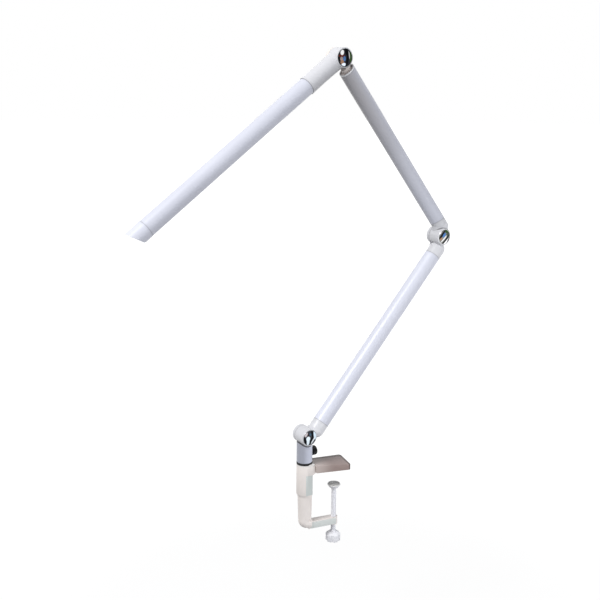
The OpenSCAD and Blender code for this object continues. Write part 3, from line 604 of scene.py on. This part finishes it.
def cut(piece, size, place):
    """Cuts a box of a size out of a piece, with its middle at a place."""
    deselect()
    bpy.ops.mesh.primitive_cube_add(size=1)
    box = bpy.context.object
    put(box, place @ Matrix.Diagonal((*size, 1)))
    apply(piece, "BOOLEAN", operation="DIFFERENCE", object=box, solver="EXACT")
    bpy.data.objects.remove(box)


def softened(name, node, width, segments=3):
    """A finer copy of a solid, with its sharp edges rounded."""
    piece = bpy.data.objects.new(name, NODES[node].data.copy())
    bpy.context.scene.collection.objects.link(piece)
    activate(piece)
    bpy.ops.object.mode_set(mode="EDIT")
    bpy.ops.mesh.select_all(action="SELECT")
    bpy.ops.mesh.remove_doubles(threshold=2e-6)
    bpy.ops.mesh.dissolve_limited(angle_limit=math.radians(0.4))
    bpy.ops.object.mode_set(mode="OBJECT")
    apply(
        piece,
        "BEVEL",
        width=width,
        segments=segments,
        limit_method="ANGLE",
        angle_limit=math.radians(28.0),
        use_clamp_overlap=True,
        miter_outer="MITER_ARC",
    )
    return piece


def settle(piece, material, body, node, smooth=32.0):
    """Ends a piece: smooth shading, its finish, the body that it rides on and the solid it stands for."""
    activate(piece)
    bpy.ops.object.shade_smooth_by_angle(angle=math.radians(smooth))
    piece.data.materials.clear()
    piece.data.materials.append(material)
    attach(piece, body)
    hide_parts(node)


def put(piece, place):
    """Moves a piece's mesh to its place and leaves its object at the origin."""
    piece.data.transform(place)
    piece.data.update()


def finish_nodes(material, *names):
    """Gives a finish to solids that show as they are."""
    for name in names:
        mesh = NODES[name].data
        mesh.materials.clear()
        mesh.materials.append(material)


CAPS = (
    ("base_cap", LOWER, "lower_arm"),
    ("elbow_cap", UPPER, "upper_arm"),
    ("head_cap", HEAD, "head"),
)
PLUGS = (
    ("base_plug", POST, "post"),
    ("elbow_plug", ELBOW, "lower_arm"),
    ("head_plug", NECK, "upper_arm"),
)


class Undoable:
    """What the operators share"""

    bl_options = {"REGISTER", "UNDO"}


class LAMP_OT_bright_caps(Undoable, bpy.types.Operator):
    """Turn the bright cap of each hinge, with a rolled rim round a shallow dome"""

    bl_idname = "lamp.bright_caps"
    bl_label = "Bright caps"

    def execute(self, context):
        sizes = context.scene.lamp_sizes
        rise, rim = sizes.cap_rise / MM, sizes.cap_rim / MM
        edge = CAP_RADIUS - rim
        dome = [(edge - 0.35, 0.12)]
        for step in range(1, 9):
            share = 1 - step / 8.6
            dome.append(((edge - 0.35) * share, 0.12 + (rise - 0.12) * (1 - share * share)))
        outline = [(8.3, -3.5), (8.3, -1.5), (12.55, -1.5), (CAP_RADIUS, -1.35), (CAP_RADIUS, -0.1)]
        outline += [(12.62, 0.18), (12.4, 0.38), (CAP_RADIUS - rim / 2, 0.44), (edge + 0.1, 0.34)]
        outline += [(edge - 0.1, 0.1)]
        for node, place, body in CAPS:
            cap = turned(f"bright_{node}", outline + dome, 128)
            put(cap, place @ CAP_SEAT @ OUT_OF_CAP)
            settle(cap, plated(f"plate_{node}", place, node), body, node, 40)
        return {"FINISHED"}


class LAMP_OT_hinge_plugs(Undoable, bpy.types.Operator):
    """Turn the white plug at the back of each hinge, with a shallow dish"""

    bl_idname = "lamp.hinge_plugs"
    bl_label = "Hinge plugs"

    def execute(self, context):
        tint = tuple(context.scene.lamp_colours.fitting)
        outline = [(10.6, 13.36), (10.75, 13.5), (10.78, 14.25), (10.6, 14.45), (10.3, 14.5), (9.3, 14.5)]
        outline += [(9.0, 14.4), (8.8, 14.15), (8.5, 14.05), (1.6, 14.0), (1.2, 13.9), (0.9, 13.6)]
        white = enamel("plug_white", tint)
        for node, place, body in PLUGS:
            plug = turned(f"back_{node}", outline)
            put(plug, place @ OUT_OF_BACK)
            settle(plug, white, body, node)
        return {"FINISHED"}


class LAMP_OT_thumb_knob(Undoable, bpy.types.Operator):
    """Turn the knurled black knob of the thumb screw"""

    bl_idname = "lamp.thumb_knob"
    bl_label = "Thumb knob"

    def execute(self, context):
        sides = context.scene.lamp_sizes.knurls * 2
        tint = tuple(context.scene.lamp_colours.black)
        outline = [(5.0, 13.2), (6.6, 13.22), (7.2, 13.5), (7.5, 14.0), (7.5, 19.2), (7.3, 19.9)]
        outline += [(6.8, 20.5), (6.0, 21.0), (4.8, 21.32), (3.2, 21.5), (1.4, 21.58), (0.5, 21.6)]
        knob = turned("knurled_thumb_knob", outline, sides, flutes=0.94)
        put(knob, POST @ Matrix.Translation((0, 0, -KNOB_DEPTH * MM)) @ OUT_OF_SIDE)
        black = moulding("knob_black", tint, 0.24, 0.000008)
        settle(knob, black, "thumb_screw", "thumb_knob", 20)
        return {"FINISHED"}


class LAMP_OT_base_ring(Undoable, bpy.types.Operator):
    """Turn the black bearing ring under the post"""

    bl_idname = "lamp.base_ring"
    bl_label = "Base ring"

    def execute(self, context):
        tint = tuple(context.scene.lamp_colours.black)
        outline = [(7.4, 16.02), (12.3, 16.02), (12.5, 16.25), (12.5, 16.9), (12.3, 17.1), (12.3, 17.4)]
        outline += [(12.5, 17.6), (12.5, 18.2), (12.25, 18.48), (7.4, 18.48), (7.4, 16.02)]
        piece = ring("bearing_ring", outline, 128)
        put(piece, CLAMP)
        black = moulding("ring_black", toned(tint, 0.4), 0.6, 0.000006)
        settle(piece, black, "clamp", "base_ring")
        return {"FINISHED"}


class LAMP_OT_power_inlet(Undoable, bpy.types.Operator):
    """Turn the low-voltage socket at the back of the post, with its centre pin"""

    bl_idname = "lamp.power_inlet"
    bl_label = "Power inlet"

    def execute(self, context):
        tint = tuple(context.scene.lamp_colours.black)
        outline = [(3.2, 3.6), (3.2, 11.7), (3.0, 12.0), (2.3, 12.0), (2.0, 11.85), (1.8, 11.5)]
        outline += [(1.8, 5.0), (0.66, 5.0), (0.66, 10.9), (0.5, 11.4), (0.25, 11.6)]
        socket = turned("low_voltage_socket", outline, 48)
        put(socket, POST @ Matrix.Translation((0, 0, -INLET_DEPTH * MM)) @ OUT_OF_BACK)
        black = moulding("socket_black", tint, 0.36, 0.000006)
        settle(socket, black, "post", "power_inlet")
        return {"FINISHED"}


class LAMP_OT_jaw_cover(Undoable, bpy.types.Operator):
    """Round the edges of the moulded cover of the upper jaw"""

    bl_idname = "lamp.jaw_cover"
    bl_label = "Jaw cover"

    def execute(self, context):
        tint = tuple(context.scene.lamp_colours.jaw)
        cover = softened("moulded_jaw_cover", "jaw_cover", context.scene.lamp_sizes.soft_edge, 4)
        # Painted highlight beside the post, and the darker edges of the cover
        zones = ((jaw_painted_highlight, srgb(226, 214, 208)), (jaw_edges, srgb(66, 46, 40)))
        settle(cover, moulding("jaw_taupe", tint, 0.3, 0.000012, zones), "clamp", "jaw_cover")
        return {"FINISHED"}


def jaw_edges(r):
    """The darker far and outer edges of the jaw cover."""
    along = abs(r.across((1, 0, 0), (JAW_FAR, 0, 0)))
    half = r.across((1, 0, 0), (JAW_NEAR, 0, 0)) * JAW_GAIN + JAW_HALF
    side = half - r.off(CLAMP, 1)
    drop = r.across((0, 0, 1), JAW_TOP) + r.across((1, 0, 0), JAW_TOP) * JAW_FALL
    near_top = 1 - abs(drop).fade(0.0004, 0.0014)
    return ((1 - side.fade(0.0045, 0.0080)) * near_top).most(1 - along.fade(0.0024, 0.0044)) * 0.92


def jaw_painted_highlight(r):
    """Painted highlight on the jaw cover beside the post: the post's reflection in the glossy cover."""
    return (1 - r.across((1, 0, 0), (JAW_NEAR, 0, 0)).fade(0.0005, 0.034)) * 0.6


def flank(r):
    """Painted shade on the flanks of the clamp, in a cooler, darker tone: the sleeve's sunk panel and the
    sides of the lower jaw.
    """
    side = abs(r.off(CLAMP, 1))
    right = r.off(CLAMP, 0)
    rise = r.off(CLAMP, 2)
    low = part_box("clamp_sleeve")[0].z
    panel = side.fade(0.0102, 0.0106) * right.fade(-0.0020, -0.0014) * (1 - rise.fade(-0.0028, -0.0022))
    panel = panel * rise.fade(low - 0.0002, low + 0.0002)
    jaw = (1 - abs(side - 0.0065).fade(0.0003, 0.0006)) * (1 - rise.fade(-0.0885, -0.0865)) * 0.9
    return panel.most(jaw * right.fade(0.006, 0.012))


def sleeve_top_light(r):
    """Painted light on the top of the sleeve, under the ring, in a whiter tone."""
    return r.off(CLAMP, 2).fade(0.0118, 0.0136)


def from_hinge(r):
    """Distance from the axis of the base hinge."""
    return reach(r.off(POST, 0), r.off(POST, 2))


def hinge_seam(hinge):
    """The fine gap between the barrel and the ear of a hinge."""

    def place(r):
        radius = reach(r.off(hinge, 0), r.off(hinge, 2))
        round_face = 1 - abs(radius - BARREL_RADIUS).fade(0.0004, 0.0008)
        return round_face * (1 - abs(r.off(hinge, 1) - HINGE_GAP).fade(0.0003, 0.0013)) * 0.5

    return place


def ring_band_and_shadow(r):
    """Painted black band over the sleeve's top and under the post: on the sleeve it draws the ring wider,
    and under the post it is painted shadow in the gap.
    """
    rise = r.off(CLAMP, 2)
    inside = 1 - reach(r.off(CLAMP, 0), r.off(CLAMP, 1)).fade(0.0126, 0.0130)
    return rise.fade(0.0148, 0.0152) * (1 - rise.fade(0.0188, 0.0192)) * inside


def over_post(r):
    """The ear of the post, which is painted with the castings."""
    return 1 - from_hinge(r).fade(0.0143, 0.0147)


def shadow_under_barrel(r):
    """Painted shadow: the dark line where the post runs in under the barrel."""
    return (1 - abs(from_hinge(r) - 0.0153).fade(0.0007, 0.0015)) * 0.9


def post_flank_light(r):
    """Painted light on the right flank of the post."""
    return r.across((0.83, -0.56, 0), POST.translation).fade(0.0, 0.012)


def below_seam(r):
    """The end of the upper tube that is painted with its fitting, up to a slanting seam."""
    return 1 - seam_distance(r, *UPPER_SEAM).fade(-0.00005, 0.00005)


def upper_shade(r):
    """Painted shade on the side of the upper tube that faces the fold, more so towards the head."""
    side = r.off(UPPER, 0) - UPPER_ASIDE
    return r.off(UPPER, 2).fade(0.04, 0.34) * (1 - side.fade(-0.008, 0.012)) * 0.62


def tube_rim_highlight(r):
    """Painted highlight on the rim round the open end of the upper tube."""
    slope = math.atan2(2.5, 24.8)
    rim = UPPER @ Vector((UPPER_ASIDE, 0, 328.3 * MM))
    direction = UPPER.to_3x3() @ Vector((-math.sin(slope), 0, math.cos(slope)))
    return r.across(direction, rim).fade(-0.0020, -0.0016)


def nose_shadow_line(r):
    """Painted shadow: the dark line where the round nose of the upper arm stands on its barrel."""
    side, deep, rise = (r.off(UPPER, axis) for axis in range(3))
    barrel = abs(reach(side, rise) - 0.0142)
    nose = abs(reach(side - UPPER_ASIDE, deep + 0.001) - 0.0128)
    return (1 - barrel.fade(0.0006, 0.0020)) * (1 - nose.fade(0.0005, 0.0019))


def nose_shade(r):
    """Painted shade on the upper arm's nose above its barrel."""
    return r.off(UPPER, 2).fade(0.0130, 0.0150)


def lower_tube_light(r):
    """Painted light on the upper side of the lower tube."""
    return 1 - (r.off(LOWER, 0) - LOWER_ASIDE).fade(-0.0125, -0.0035)


def lower_tube_shade(r):
    """Painted shade on the lower side of the lower tube."""
    return (r.off(LOWER, 0) - LOWER_ASIDE).fade(-0.011, 0.001)


def head_underside_shade(r):
    """Painted shade on the underside of the head."""
    return 1 - r.off(HEAD, 0).fade(-0.013, 0.004)


class LAMP_OT_elbow_casting(Undoable, bpy.types.Operator):
    """Carry the round nose of the upper arm down over the front of its barrel"""

    bl_idname = "lamp.elbow_casting"
    bl_label = "Elbow casting"

    def execute(self, context):
        tint = tuple(context.scene.lamp_colours.fitting)
        casting = softened("elbow_casting", "upper_knuckle", context.scene.lamp_sizes.cast_edge, 2)
        radius = 12.38
        turns = [math.radians(turn) for turn in range(3, 90, 6)]
        outline = [(radius * math.sin(turn), 8 - radius * math.cos(turn)) for turn in turns]
        nose = turned("elbow_nose", [*outline, (radius, 8.0), (radius, 20.0)])
        put(nose, UPPER @ Matrix.Translation((UPPER_ASIDE, 0, 0)))
        cut(nose, (0.06, 0.02, 0.08), UPPER @ Matrix.Translation((UPPER_ASIDE, 17 * MM, 8 * MM)))
        apply(casting, "BOOLEAN", operation="UNION", object=nose, solver="EXACT")
        bpy.data.objects.remove(nose)
        # Painted shade on the nose, a painted shadow line under it, and the dark seam of the hinge
        zones = (
            (nose_shade, toned(tint, 0.87)),
            (nose_shadow_line, toned(tint, 0.3)),
            (hinge_seam(ELBOW), toned(tint, 0.4)),
        )
        paint = enamel("elbow_casting_enamel", tint, (UPPER_SEAM,), zones)
        settle(casting, paint, "upper_arm", "upper_knuckle")
        return {"FINISHED"}


class LAMP_OT_clamp_screw(Undoable, bpy.types.Operator):
    """Turn the clamp screw's core and wind its thread"""

    bl_idname = "lamp.clamp_screw"
    bl_label = "Clamp screw"

    def execute(self, context):
        sizes = context.scene.lamp_sizes
        pitch, depth = sizes.thread_pitch / MM, sizes.thread_depth / MM
        low, high = -118.0, -40.0
        core = 4.0 - depth
        outline = [(4.0 - 0.3, low), (4.0, low + 0.3), (4.0, -112.0), (core, -111.4), (core, high)]
        outline += [(4.0, high + 0.5), (4.0, -35.6), (4.35, -34.6), (4.5, -33.6), (4.35, -32.6)]
        outline += [(3.9, -31.8), (3.4, -31.15), (0.6, -31.1)]
        rod = turned("screw_core", outline, 64)
        deselect()
        bpy.ops.mesh.primitive_circle_add(vertices=3, radius=depth * 1.2 * MM, fill_type="NOTHING")
        ridge = bpy.context.object
        put(ridge, OUT_OF_SIDE @ OUT_OF_CAP)
        crest = max(point.co.x for point in ridge.data.vertices)
        put(ridge, Matrix.Translation((4.0 * MM - crest, 0, -111.5 * MM)))
        turns = int((high + 111.0) / pitch)
        apply(
            ridge,
            "SCREW",
            axis="Z",
            angle=2 * math.pi,
            screw_offset=pitch * MM,
            iterations=turns,
            steps=20,
            render_steps=20,
            use_normal_calculate=True,
        )
        activate(rod, ridge)
        bpy.ops.object.join()
        rod.name = "threaded_clamp_screw"
        put(rod, SCREW_AXIS)
        tint = tuple(context.scene.lamp_colours.fitting)
        settle(rod, enamel("screw_white", toned(tint, 1.18)), "clamp_screw", "clamp_screw")
        return {"FINISHED"}


class LAMP_OT_clamp_knob(Undoable, bpy.types.Operator):
    """Round the lobes of the clamp screw's knob"""

    bl_idname = "lamp.clamp_knob"
    bl_label = "Clamp knob"

    def execute(self, context):
        tint = tuple(context.scene.lamp_colours.fitting)
        knob = softened("lobed_clamp_knob", "clamp_knob", context.scene.lamp_sizes.soft_edge, 3)
        white = moulding("knob_white", toned(tint, 1.18), 0.36, 0.000008)
        settle(knob, white, "clamp_screw", "clamp_knob")
        return {"FINISHED"}


class LAMP_OT_pads(Undoable, bpy.types.Operator):
    """Rib the rubber pads that grip the desk"""

    bl_idname = "lamp.pads"
    bl_label = "Rubber pads"

    def execute(self, context):
        steps = 2 * context.scene.lamp_sizes.pad_ribs + 1
        rubber = soft_rubber("pad_rubber", tuple(context.scene.lamp_colours.rubber))
        low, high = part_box("jaw_pad")
        near_half, far_half = 0.01308, high.y
        run = high.x - low.x
        deselect()
        bpy.ops.mesh.primitive_grid_add(x_subdivisions=steps, y_subdivisions=1, size=1)
        pad = bpy.context.object
        pad.name = "ribbed_jaw_pad"
        bpy.ops.object.mode_set(mode="EDIT")
        bpy.ops.mesh.select_all(action="SELECT")
        bpy.ops.transform.translate(value=(0.5, 0, 0))
        bpy.ops.transform.resize(value=(run, 2 * near_half, 1), center_override=(0, 0, 0))
        for step in range(steps + 1):
            place = step / steps * run
            pick(pad, lambda co: abs(co.x - place) < 1e-5)
            share = 1 + (far_half / near_half - 1) * step / steps
            bpy.ops.transform.resize(value=(1, share, 1), center_override=(place, 0, 0))
        bpy.ops.mesh.select_all(action="SELECT")
        bpy.ops.mesh.extrude_region_move(TRANSFORM_OT_translate={"value": (0, 0, -1.35 * MM)})
        bpy.context.tool_settings.mesh_select_mode = (False, False, True)
        mesh = bmesh.from_edit_mesh(pad.data)
        for face in mesh.faces:
            middle = face.calc_center_median()
            under = abs(face.normal.z) > 0.9 and middle.z < -0.001
            face.select = under and int(middle.x / run * steps) % 2 == 0
        bmesh.update_edit_mesh(pad.data)
        bpy.ops.mesh.extrude_region_move(TRANSFORM_OT_translate={"value": (0, 0, -0.6 * MM)})
        bpy.ops.mesh.select_all(action="SELECT")
        bpy.ops.mesh.normals_make_consistent(inside=False)
        bpy.ops.object.mode_set(mode="OBJECT")
        put(pad, Matrix.Translation((low.x, 0, high.z)))
        apply(pad, "BEVEL", width=0.15 * MM, segments=2, limit_method="ANGLE", angle_limit=0.6)
        settle(pad, rubber, "clamp", "jaw_pad", 25)
        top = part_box("screw_pad_rubber")[1].z / MM
        outline = [(9.9, top - 1.5), (10.0, top - 1.4), (10.0, top - 0.25), (9.8, top), (8.6, top)]
        floor = top - 0.5
        for groove in (7.6, 5.4, 3.2):
            outline += [(groove + 0.6, top), (groove + 0.45, floor), (groove - 0.45, floor)]
            outline += [(groove - 0.6, top)]
        outline += [(1.0, top)]
        disc = turned("grooved_screw_pad", outline, 72)
        put(disc, SCREW_AXIS)
        pale = soft_rubber("pad_rubber_pale", tuple(context.scene.lamp_colours.pale_rubber))
        settle(disc, pale, "pressure_pad", "screw_pad_rubber", 25)
        return {"FINISHED"}


class LAMP_OT_sleeve_screw(Undoable, bpy.types.Operator):
    """Turn the screw that holds the clamp's sleeve, and cut its cross recess"""

    bl_idname = "lamp.sleeve_screw"
    bl_label = "Sleeve screw"

    def execute(self, context):
        outline = [(1.2, 1.0), (1.5, 1.3), (1.5, 10.05), (2.7, 10.06), (2.9, 10.3), (2.9, 11.0)]
        outline += [(2.6, 11.4), (2.0, 11.68), (1.2, 11.8), (0.3, 11.8)]
        screw = turned("cross_head_screw", outline, 48)
        for turn in (0, 90):
            middle = Matrix.Translation((0, 0, 11.6 * MM)) @ Matrix.Rotation(math.radians(turn), 4, "Z")
            cut(screw, (3.2 * MM, 0.6 * MM, 1.6 * MM), middle)
        put(screw, CLAMP @ Matrix.Translation((0, 0, -SLEEVE_SCREW_DEPTH * MM)) @ OUT_OF_SIDE)
        settle(screw, bare_metal("screw_zinc", srgb(168, 170, 174)), "clamp", "sleeve_screw")
        return {"FINISHED"}


class LAMP_OT_clamp_body(Undoable, bpy.types.Operator):
    """Round the edges of the clamp's casting and of its sleeve"""

    bl_idname = "lamp.clamp_body"
    bl_label = "Clamp body"

    def execute(self, context):
        tint = tuple(context.scene.lamp_colours.clamp)
        width = context.scene.lamp_sizes.soft_edge
        casting = softened("clamp_casting", "clamp_frame", width, 3)
        # Painted shade on the flanks of the casting and the sleeve
        flank_shade = (flank, srgb(222, 228, 225))
        enamelled = moulding("clamp_enamel", tint, 0.42, 0.000014, (flank_shade,))
        settle(casting, enamelled, "clamp", "clamp_frame")
        sleeve = softened("clamp_shell", "clamp_sleeve", width * 0.5, 2)
        # Painted shade on the sleeve's flanks, painted light on its top, and the black band at the ring
        zones = (flank_shade, (sleeve_top_light, srgb(234, 230, 226)), (ring_band_and_shadow, BLACK))
        moulded = moulding("clamp_moulding", tint, 0.44, 0.000014, zones)
        settle(sleeve, moulded, "clamp", "clamp_sleeve")
        return {"FINISHED"}


class LAMP_OT_finishes(Undoable, bpy.types.Operator):
    """Give their finishes to the solids that show as they are"""

    bl_idname = "lamp.finishes"
    bl_label = "Finishes"

    def execute(self, context):
        paints = context.scene.lamp_colours
        names = ("tube", "fitting", "post", "black", "diffuser")
        tube, fitting, post, black, diffuser = (tuple(getattr(paints, name)) for name in names)
        # Painted light on the lower tube's upper side and painted shade on its lower side
        zones = ((lower_tube_light, toned(tube, 1.12)), (lower_tube_shade, toned(tube, 0.92)))
        finish_nodes(enamel("lower_tube_enamel", tube, LOWER_SEAMS, zones), "lower_tube")
        # The upper tube: a darker copy of the tube enamel as painted shade, painted shade towards the fold,
        # its end in a darker copy of the fitting enamel, and a painted highlight on its rim
        shade = (upper_shade, srgb(148, 142, 138))
        zones = (shade, (below_seam, toned(fitting, 0.87)), (tube_rim_highlight, WHITE))
        finish_nodes(enamel("upper_tube_enamel", toned(tube, 0.87), (UPPER_SEAM,), zones), "upper_tube")
        # The head's tube, casting and end cap: darker copies of their enamel as painted shade, and more
        # painted shade underneath
        zones = ((head_underside_shade, toned(tube, 0.74)),)
        finish_nodes(enamel("head_tube_enamel", toned(tube, 0.92), HEAD_SEAMS, zones), "head_tube")
        zones = ((hinge_seam(POST), toned(fitting, 0.4)), (hinge_seam(ELBOW), toned(fitting, 0.4)))
        castings = enamel("lower_casting_enamel", fitting, LOWER_SEAMS, zones)
        finish_nodes(castings, "lower_knuckle", "lower_fork")
        # A lighter, warmer enamel on the neck than on the other fittings; its lightness is painted light
        # where the neck sits in shade inside the tube's mouth
        finish_nodes(enamel("neck_enamel", srgb(248, 238, 232)), "head_fork")
        zones = ((head_underside_shade, toned(fitting, 0.54)),)
        finish_nodes(enamel("head_casting_enamel", toned(fitting, 0.92), HEAD_SEAMS, zones), "head_sleeve")
        zones = ((head_underside_shade, toned(tube, 0.8)),)
        finish_nodes(enamel("end_cap_enamel", toned(tube, 0.98), HEAD_SEAMS, zones), "end_cap")
        # The post: painted light on its right flank, painted shadow under its barrel and at the ring, and
        # its ear painted with the castings
        flanks = ((post_flank_light, toned(post, 1.6)), (shadow_under_barrel, BLACK))
        zones = (*flanks, (over_post, fitting), (ring_band_and_shadow, BLACK))
        finish_nodes(enamel("post_enamel", post, zones=zones), "post")
        finish_nodes(moulding("pad_cup_white", toned(fitting, 1.18)), "screw_pad")
        finish_nodes(opal("diffuser_opal", diffuser), "diffuser")
        steel = bare_metal("zinc_steel", srgb(172, 174, 178))
        finish_nodes(steel, "jaw_screws", "post_pin", "thumb_screw")
        for hinge in ("base", "elbow", "head"):
            finish_nodes(steel, f"{hinge}_spring", f"{hinge}_bolt", f"{hinge}_nut")
        nylon = moulding("nylon_natural", srgb(232, 228, 214), 0.4, 0.000006)
        finish_nodes(nylon, "base_washer", "elbow_washer", "head_washer", "thumb_tip")
        finish_nodes(bare_metal("turned_brass", srgb(206, 170, 96), 0.22), "thumb_insert")
        finish_nodes(soft_rubber("lead_sheath", black), "lower_lead", "upper_lead")
        green = board("driver_lacquer", srgb(30, 92, 52), srgb(120, 170, 110), 0.0021)
        finish_nodes(green, "driver_board")
        pale = board("light_board_lacquer", srgb(236, 236, 230), srgb(190, 186, 170), 0.0032)
        finish_nodes(pale, "led_board")
        finish_nodes(moulding("diode_phosphor", srgb(238, 208, 96), 0.3, 0.000004), "leds")
        return {"FINISHED"}


class LAMP_OT_stage(Undoable, bpy.types.Operator):
    """Lay the pale floor, light it softly and set the camera where the photograph was taken"""

    bl_idname = "lamp.stage"
    bl_label = "Stage"

    def execute(self, context):
        stage = context.scene.lamp_stage
        scene = context.scene
        scene.view_settings.view_transform = "Standard"

        forward = Vector((math.sin(stage.azimuth), math.cos(stage.azimuth), 0)) * math.cos(stage.pitch)
        forward.z = -math.sin(stage.pitch)
        right = forward.cross(Vector((0, 0, 1))).normalized()
        up = right.cross(forward)
        seen = Vector(JOINTS["base_tilt"]["pos_m"])
        aside, above, ahead = CAMERA_OFFSET
        spot = seen + right * aside + up * above + forward * ahead
        tilt, lean = math.cos(stage.roll), math.sin(stage.roll)
        right, up = right * tilt + up * lean, up * tilt - right * lean
        lens = bpy.data.cameras.new("photo_camera")
        lens.lens = stage.lens
        lens.sensor_width = 36.0
        lens.clip_start, lens.clip_end = 0.05, 60.0
        camera = bpy.data.objects.new("photo_camera", lens)
        turn = Matrix((right, up, -forward)).transposed()
        camera.matrix_world = Matrix.Translation(spot) @ turn.to_4x4()
        scene.collection.objects.link(camera)
        scene.camera = camera

        def area(name, where, target, size, share, tint=(1, 1, 1), mirrored=False):
            lamp = bpy.data.lights.new(name, "AREA")
            lamp.shape = "DISK"
            lamp.size = size
            lamp.energy = stage.key_power * share
            lamp.color = tint
            holder = bpy.data.objects.new(name, lamp)
            holder.location = where
            holder.rotation_euler = (Vector(target) - Vector(where)).to_track_quat("-Z", "Y").to_euler()
            holder.visible_glossy = mirrored
            scene.collection.objects.link(holder)

        area("key_lamp", (-2.0, -0.7, 2.6), (0, 0, 0.3), 1.5, 1, mirrored=True)
        area("front_lamp", (0.9, -2.2, 0.2), (0.1, 0, 0.2), 1.2, 0.18, (0.94, 0.96, 1.0))
        area("side_lamp", (0.85, -0.6, -0.05), (-0.03, 0, -0.02), 0.5, 0.035)

        scene.world = pale_room(stage.sky)

        deselect()
        spot = (0, 0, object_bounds()[0].z - stage.floor_drop)
        bpy.ops.mesh.primitive_circle_add(vertices=96, radius=14, location=spot, fill_type="NGON")
        floor = bpy.context.object
        floor.name = "pale_floor"
        bpy.ops.object.transform_apply(location=True, rotation=True, scale=True)
        floor.data.materials.append(pale_floor())
        floor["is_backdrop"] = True
        return {"FINISHED"}


def seen_rays(r):
    """1 for what the camera sees, straight or mirrored, and 0 for the light that reaches surfaces."""
    rays = r.node("LightPath").outputs
    seen = Value(r, rays["Is Camera Ray"]) + Value(r, rays["Is Glossy Ray"])
    return (seen + Value(r, rays["Is Transmission Ray"])).least(1.0)


def pale_room(strength):
    """A white room as it is seen, which lights the lamp with a softer, bluer light."""
    r = Recipe(bpy.data.worlds.new("pale_room"), "OutputWorld")
    sky = r.node("Background", {"Color": (0.93, 0.955, 1.0), "Strength": strength})
    white = r.node("Background", {"Color": (1.0, 1.0, 1.0), "Strength": 1.0})
    return r.end(r.node("MixShader", {0: seen_rays(r), 1: sky.outputs[0], 2: white.outputs[0]}))


def pale_floor():
    """A pale floor that keeps the object's shadow near it and fades to white further off."""
    r = finish("pale_floor")
    seen = seen_rays(r)
    away = reach(r.across((1, 0, 0), (0, 0, 0)), r.across((0, 1, 0), (0, 0, 0))).fade(0.45, 1.6)
    grain = r.noise(30.0, 4.0)
    tone = r.mixed(grain, (0.34, 0.34, 0.34), (0.36, 0.36, 0.36))
    matt = r.node("BsdfDiffuse", {"Color": tone})
    white = r.node("Emission", {"Color": (1, 1, 1), "Strength": 1.27})
    share = seen * (0.72 + 0.28 * away)
    return r.end(r.node("MixShader", {0: share, 1: matt.outputs[0], 2: white.outputs[0]}))


class LAMP_PT_panel(bpy.types.Panel):
    """Lists the lamp's pieces"""

    bl_idname = "LAMP_PT_panel"
    bl_label = "Clamp Lamp"
    bl_space_type = "VIEW_3D"
    bl_region_type = "UI"
    bl_category = "Clamp Lamp"

    def draw(self, context):
        column = self.layout.column()
        for operator in OPERATORS:
            column.operator(operator.bl_idname)
        for group in (context.scene.lamp_colours, context.scene.lamp_sizes, context.scene.lamp_stage):
            box = self.layout.box()
            for key in group.bl_rna.properties.keys():
                if key not in ("rna_type", "name"):
                    box.prop(group, key)


OPERATORS = (
    LAMP_OT_stage,
    LAMP_OT_bright_caps,
    LAMP_OT_hinge_plugs,
    LAMP_OT_thumb_knob,
    LAMP_OT_base_ring,
    LAMP_OT_power_inlet,
    LAMP_OT_jaw_cover,
    LAMP_OT_clamp_screw,
    LAMP_OT_clamp_knob,
    LAMP_OT_pads,
    LAMP_OT_sleeve_screw,
    LAMP_OT_clamp_body,
    LAMP_OT_elbow_casting,
    LAMP_OT_finishes,
)
CLASSES = (LampColours, LampSizes, StageSettings, *OPERATORS, LAMP_PT_panel)


def register():
    for cls in CLASSES:
        bpy.utils.register_class(cls)
    bpy.types.Scene.lamp_colours = bpy.props.PointerProperty(type=LampColours)
    bpy.types.Scene.lamp_sizes = bpy.props.PointerProperty(type=LampSizes)
    bpy.types.Scene.lamp_stage = bpy.props.PointerProperty(type=StageSettings)


def unregister():
    del bpy.types.Scene.lamp_stage
    del bpy.types.Scene.lamp_sizes
    del bpy.types.Scene.lamp_colours
    for cls in reversed(CLASSES):
        bpy.utils.unregister_class(cls)


def main():
    register()
    for operator in OPERATORS:
        group, name = operator.bl_idname.split(".")
        getattr(getattr(bpy.ops, group), name)()


if __name__ == "__main__":
    main()
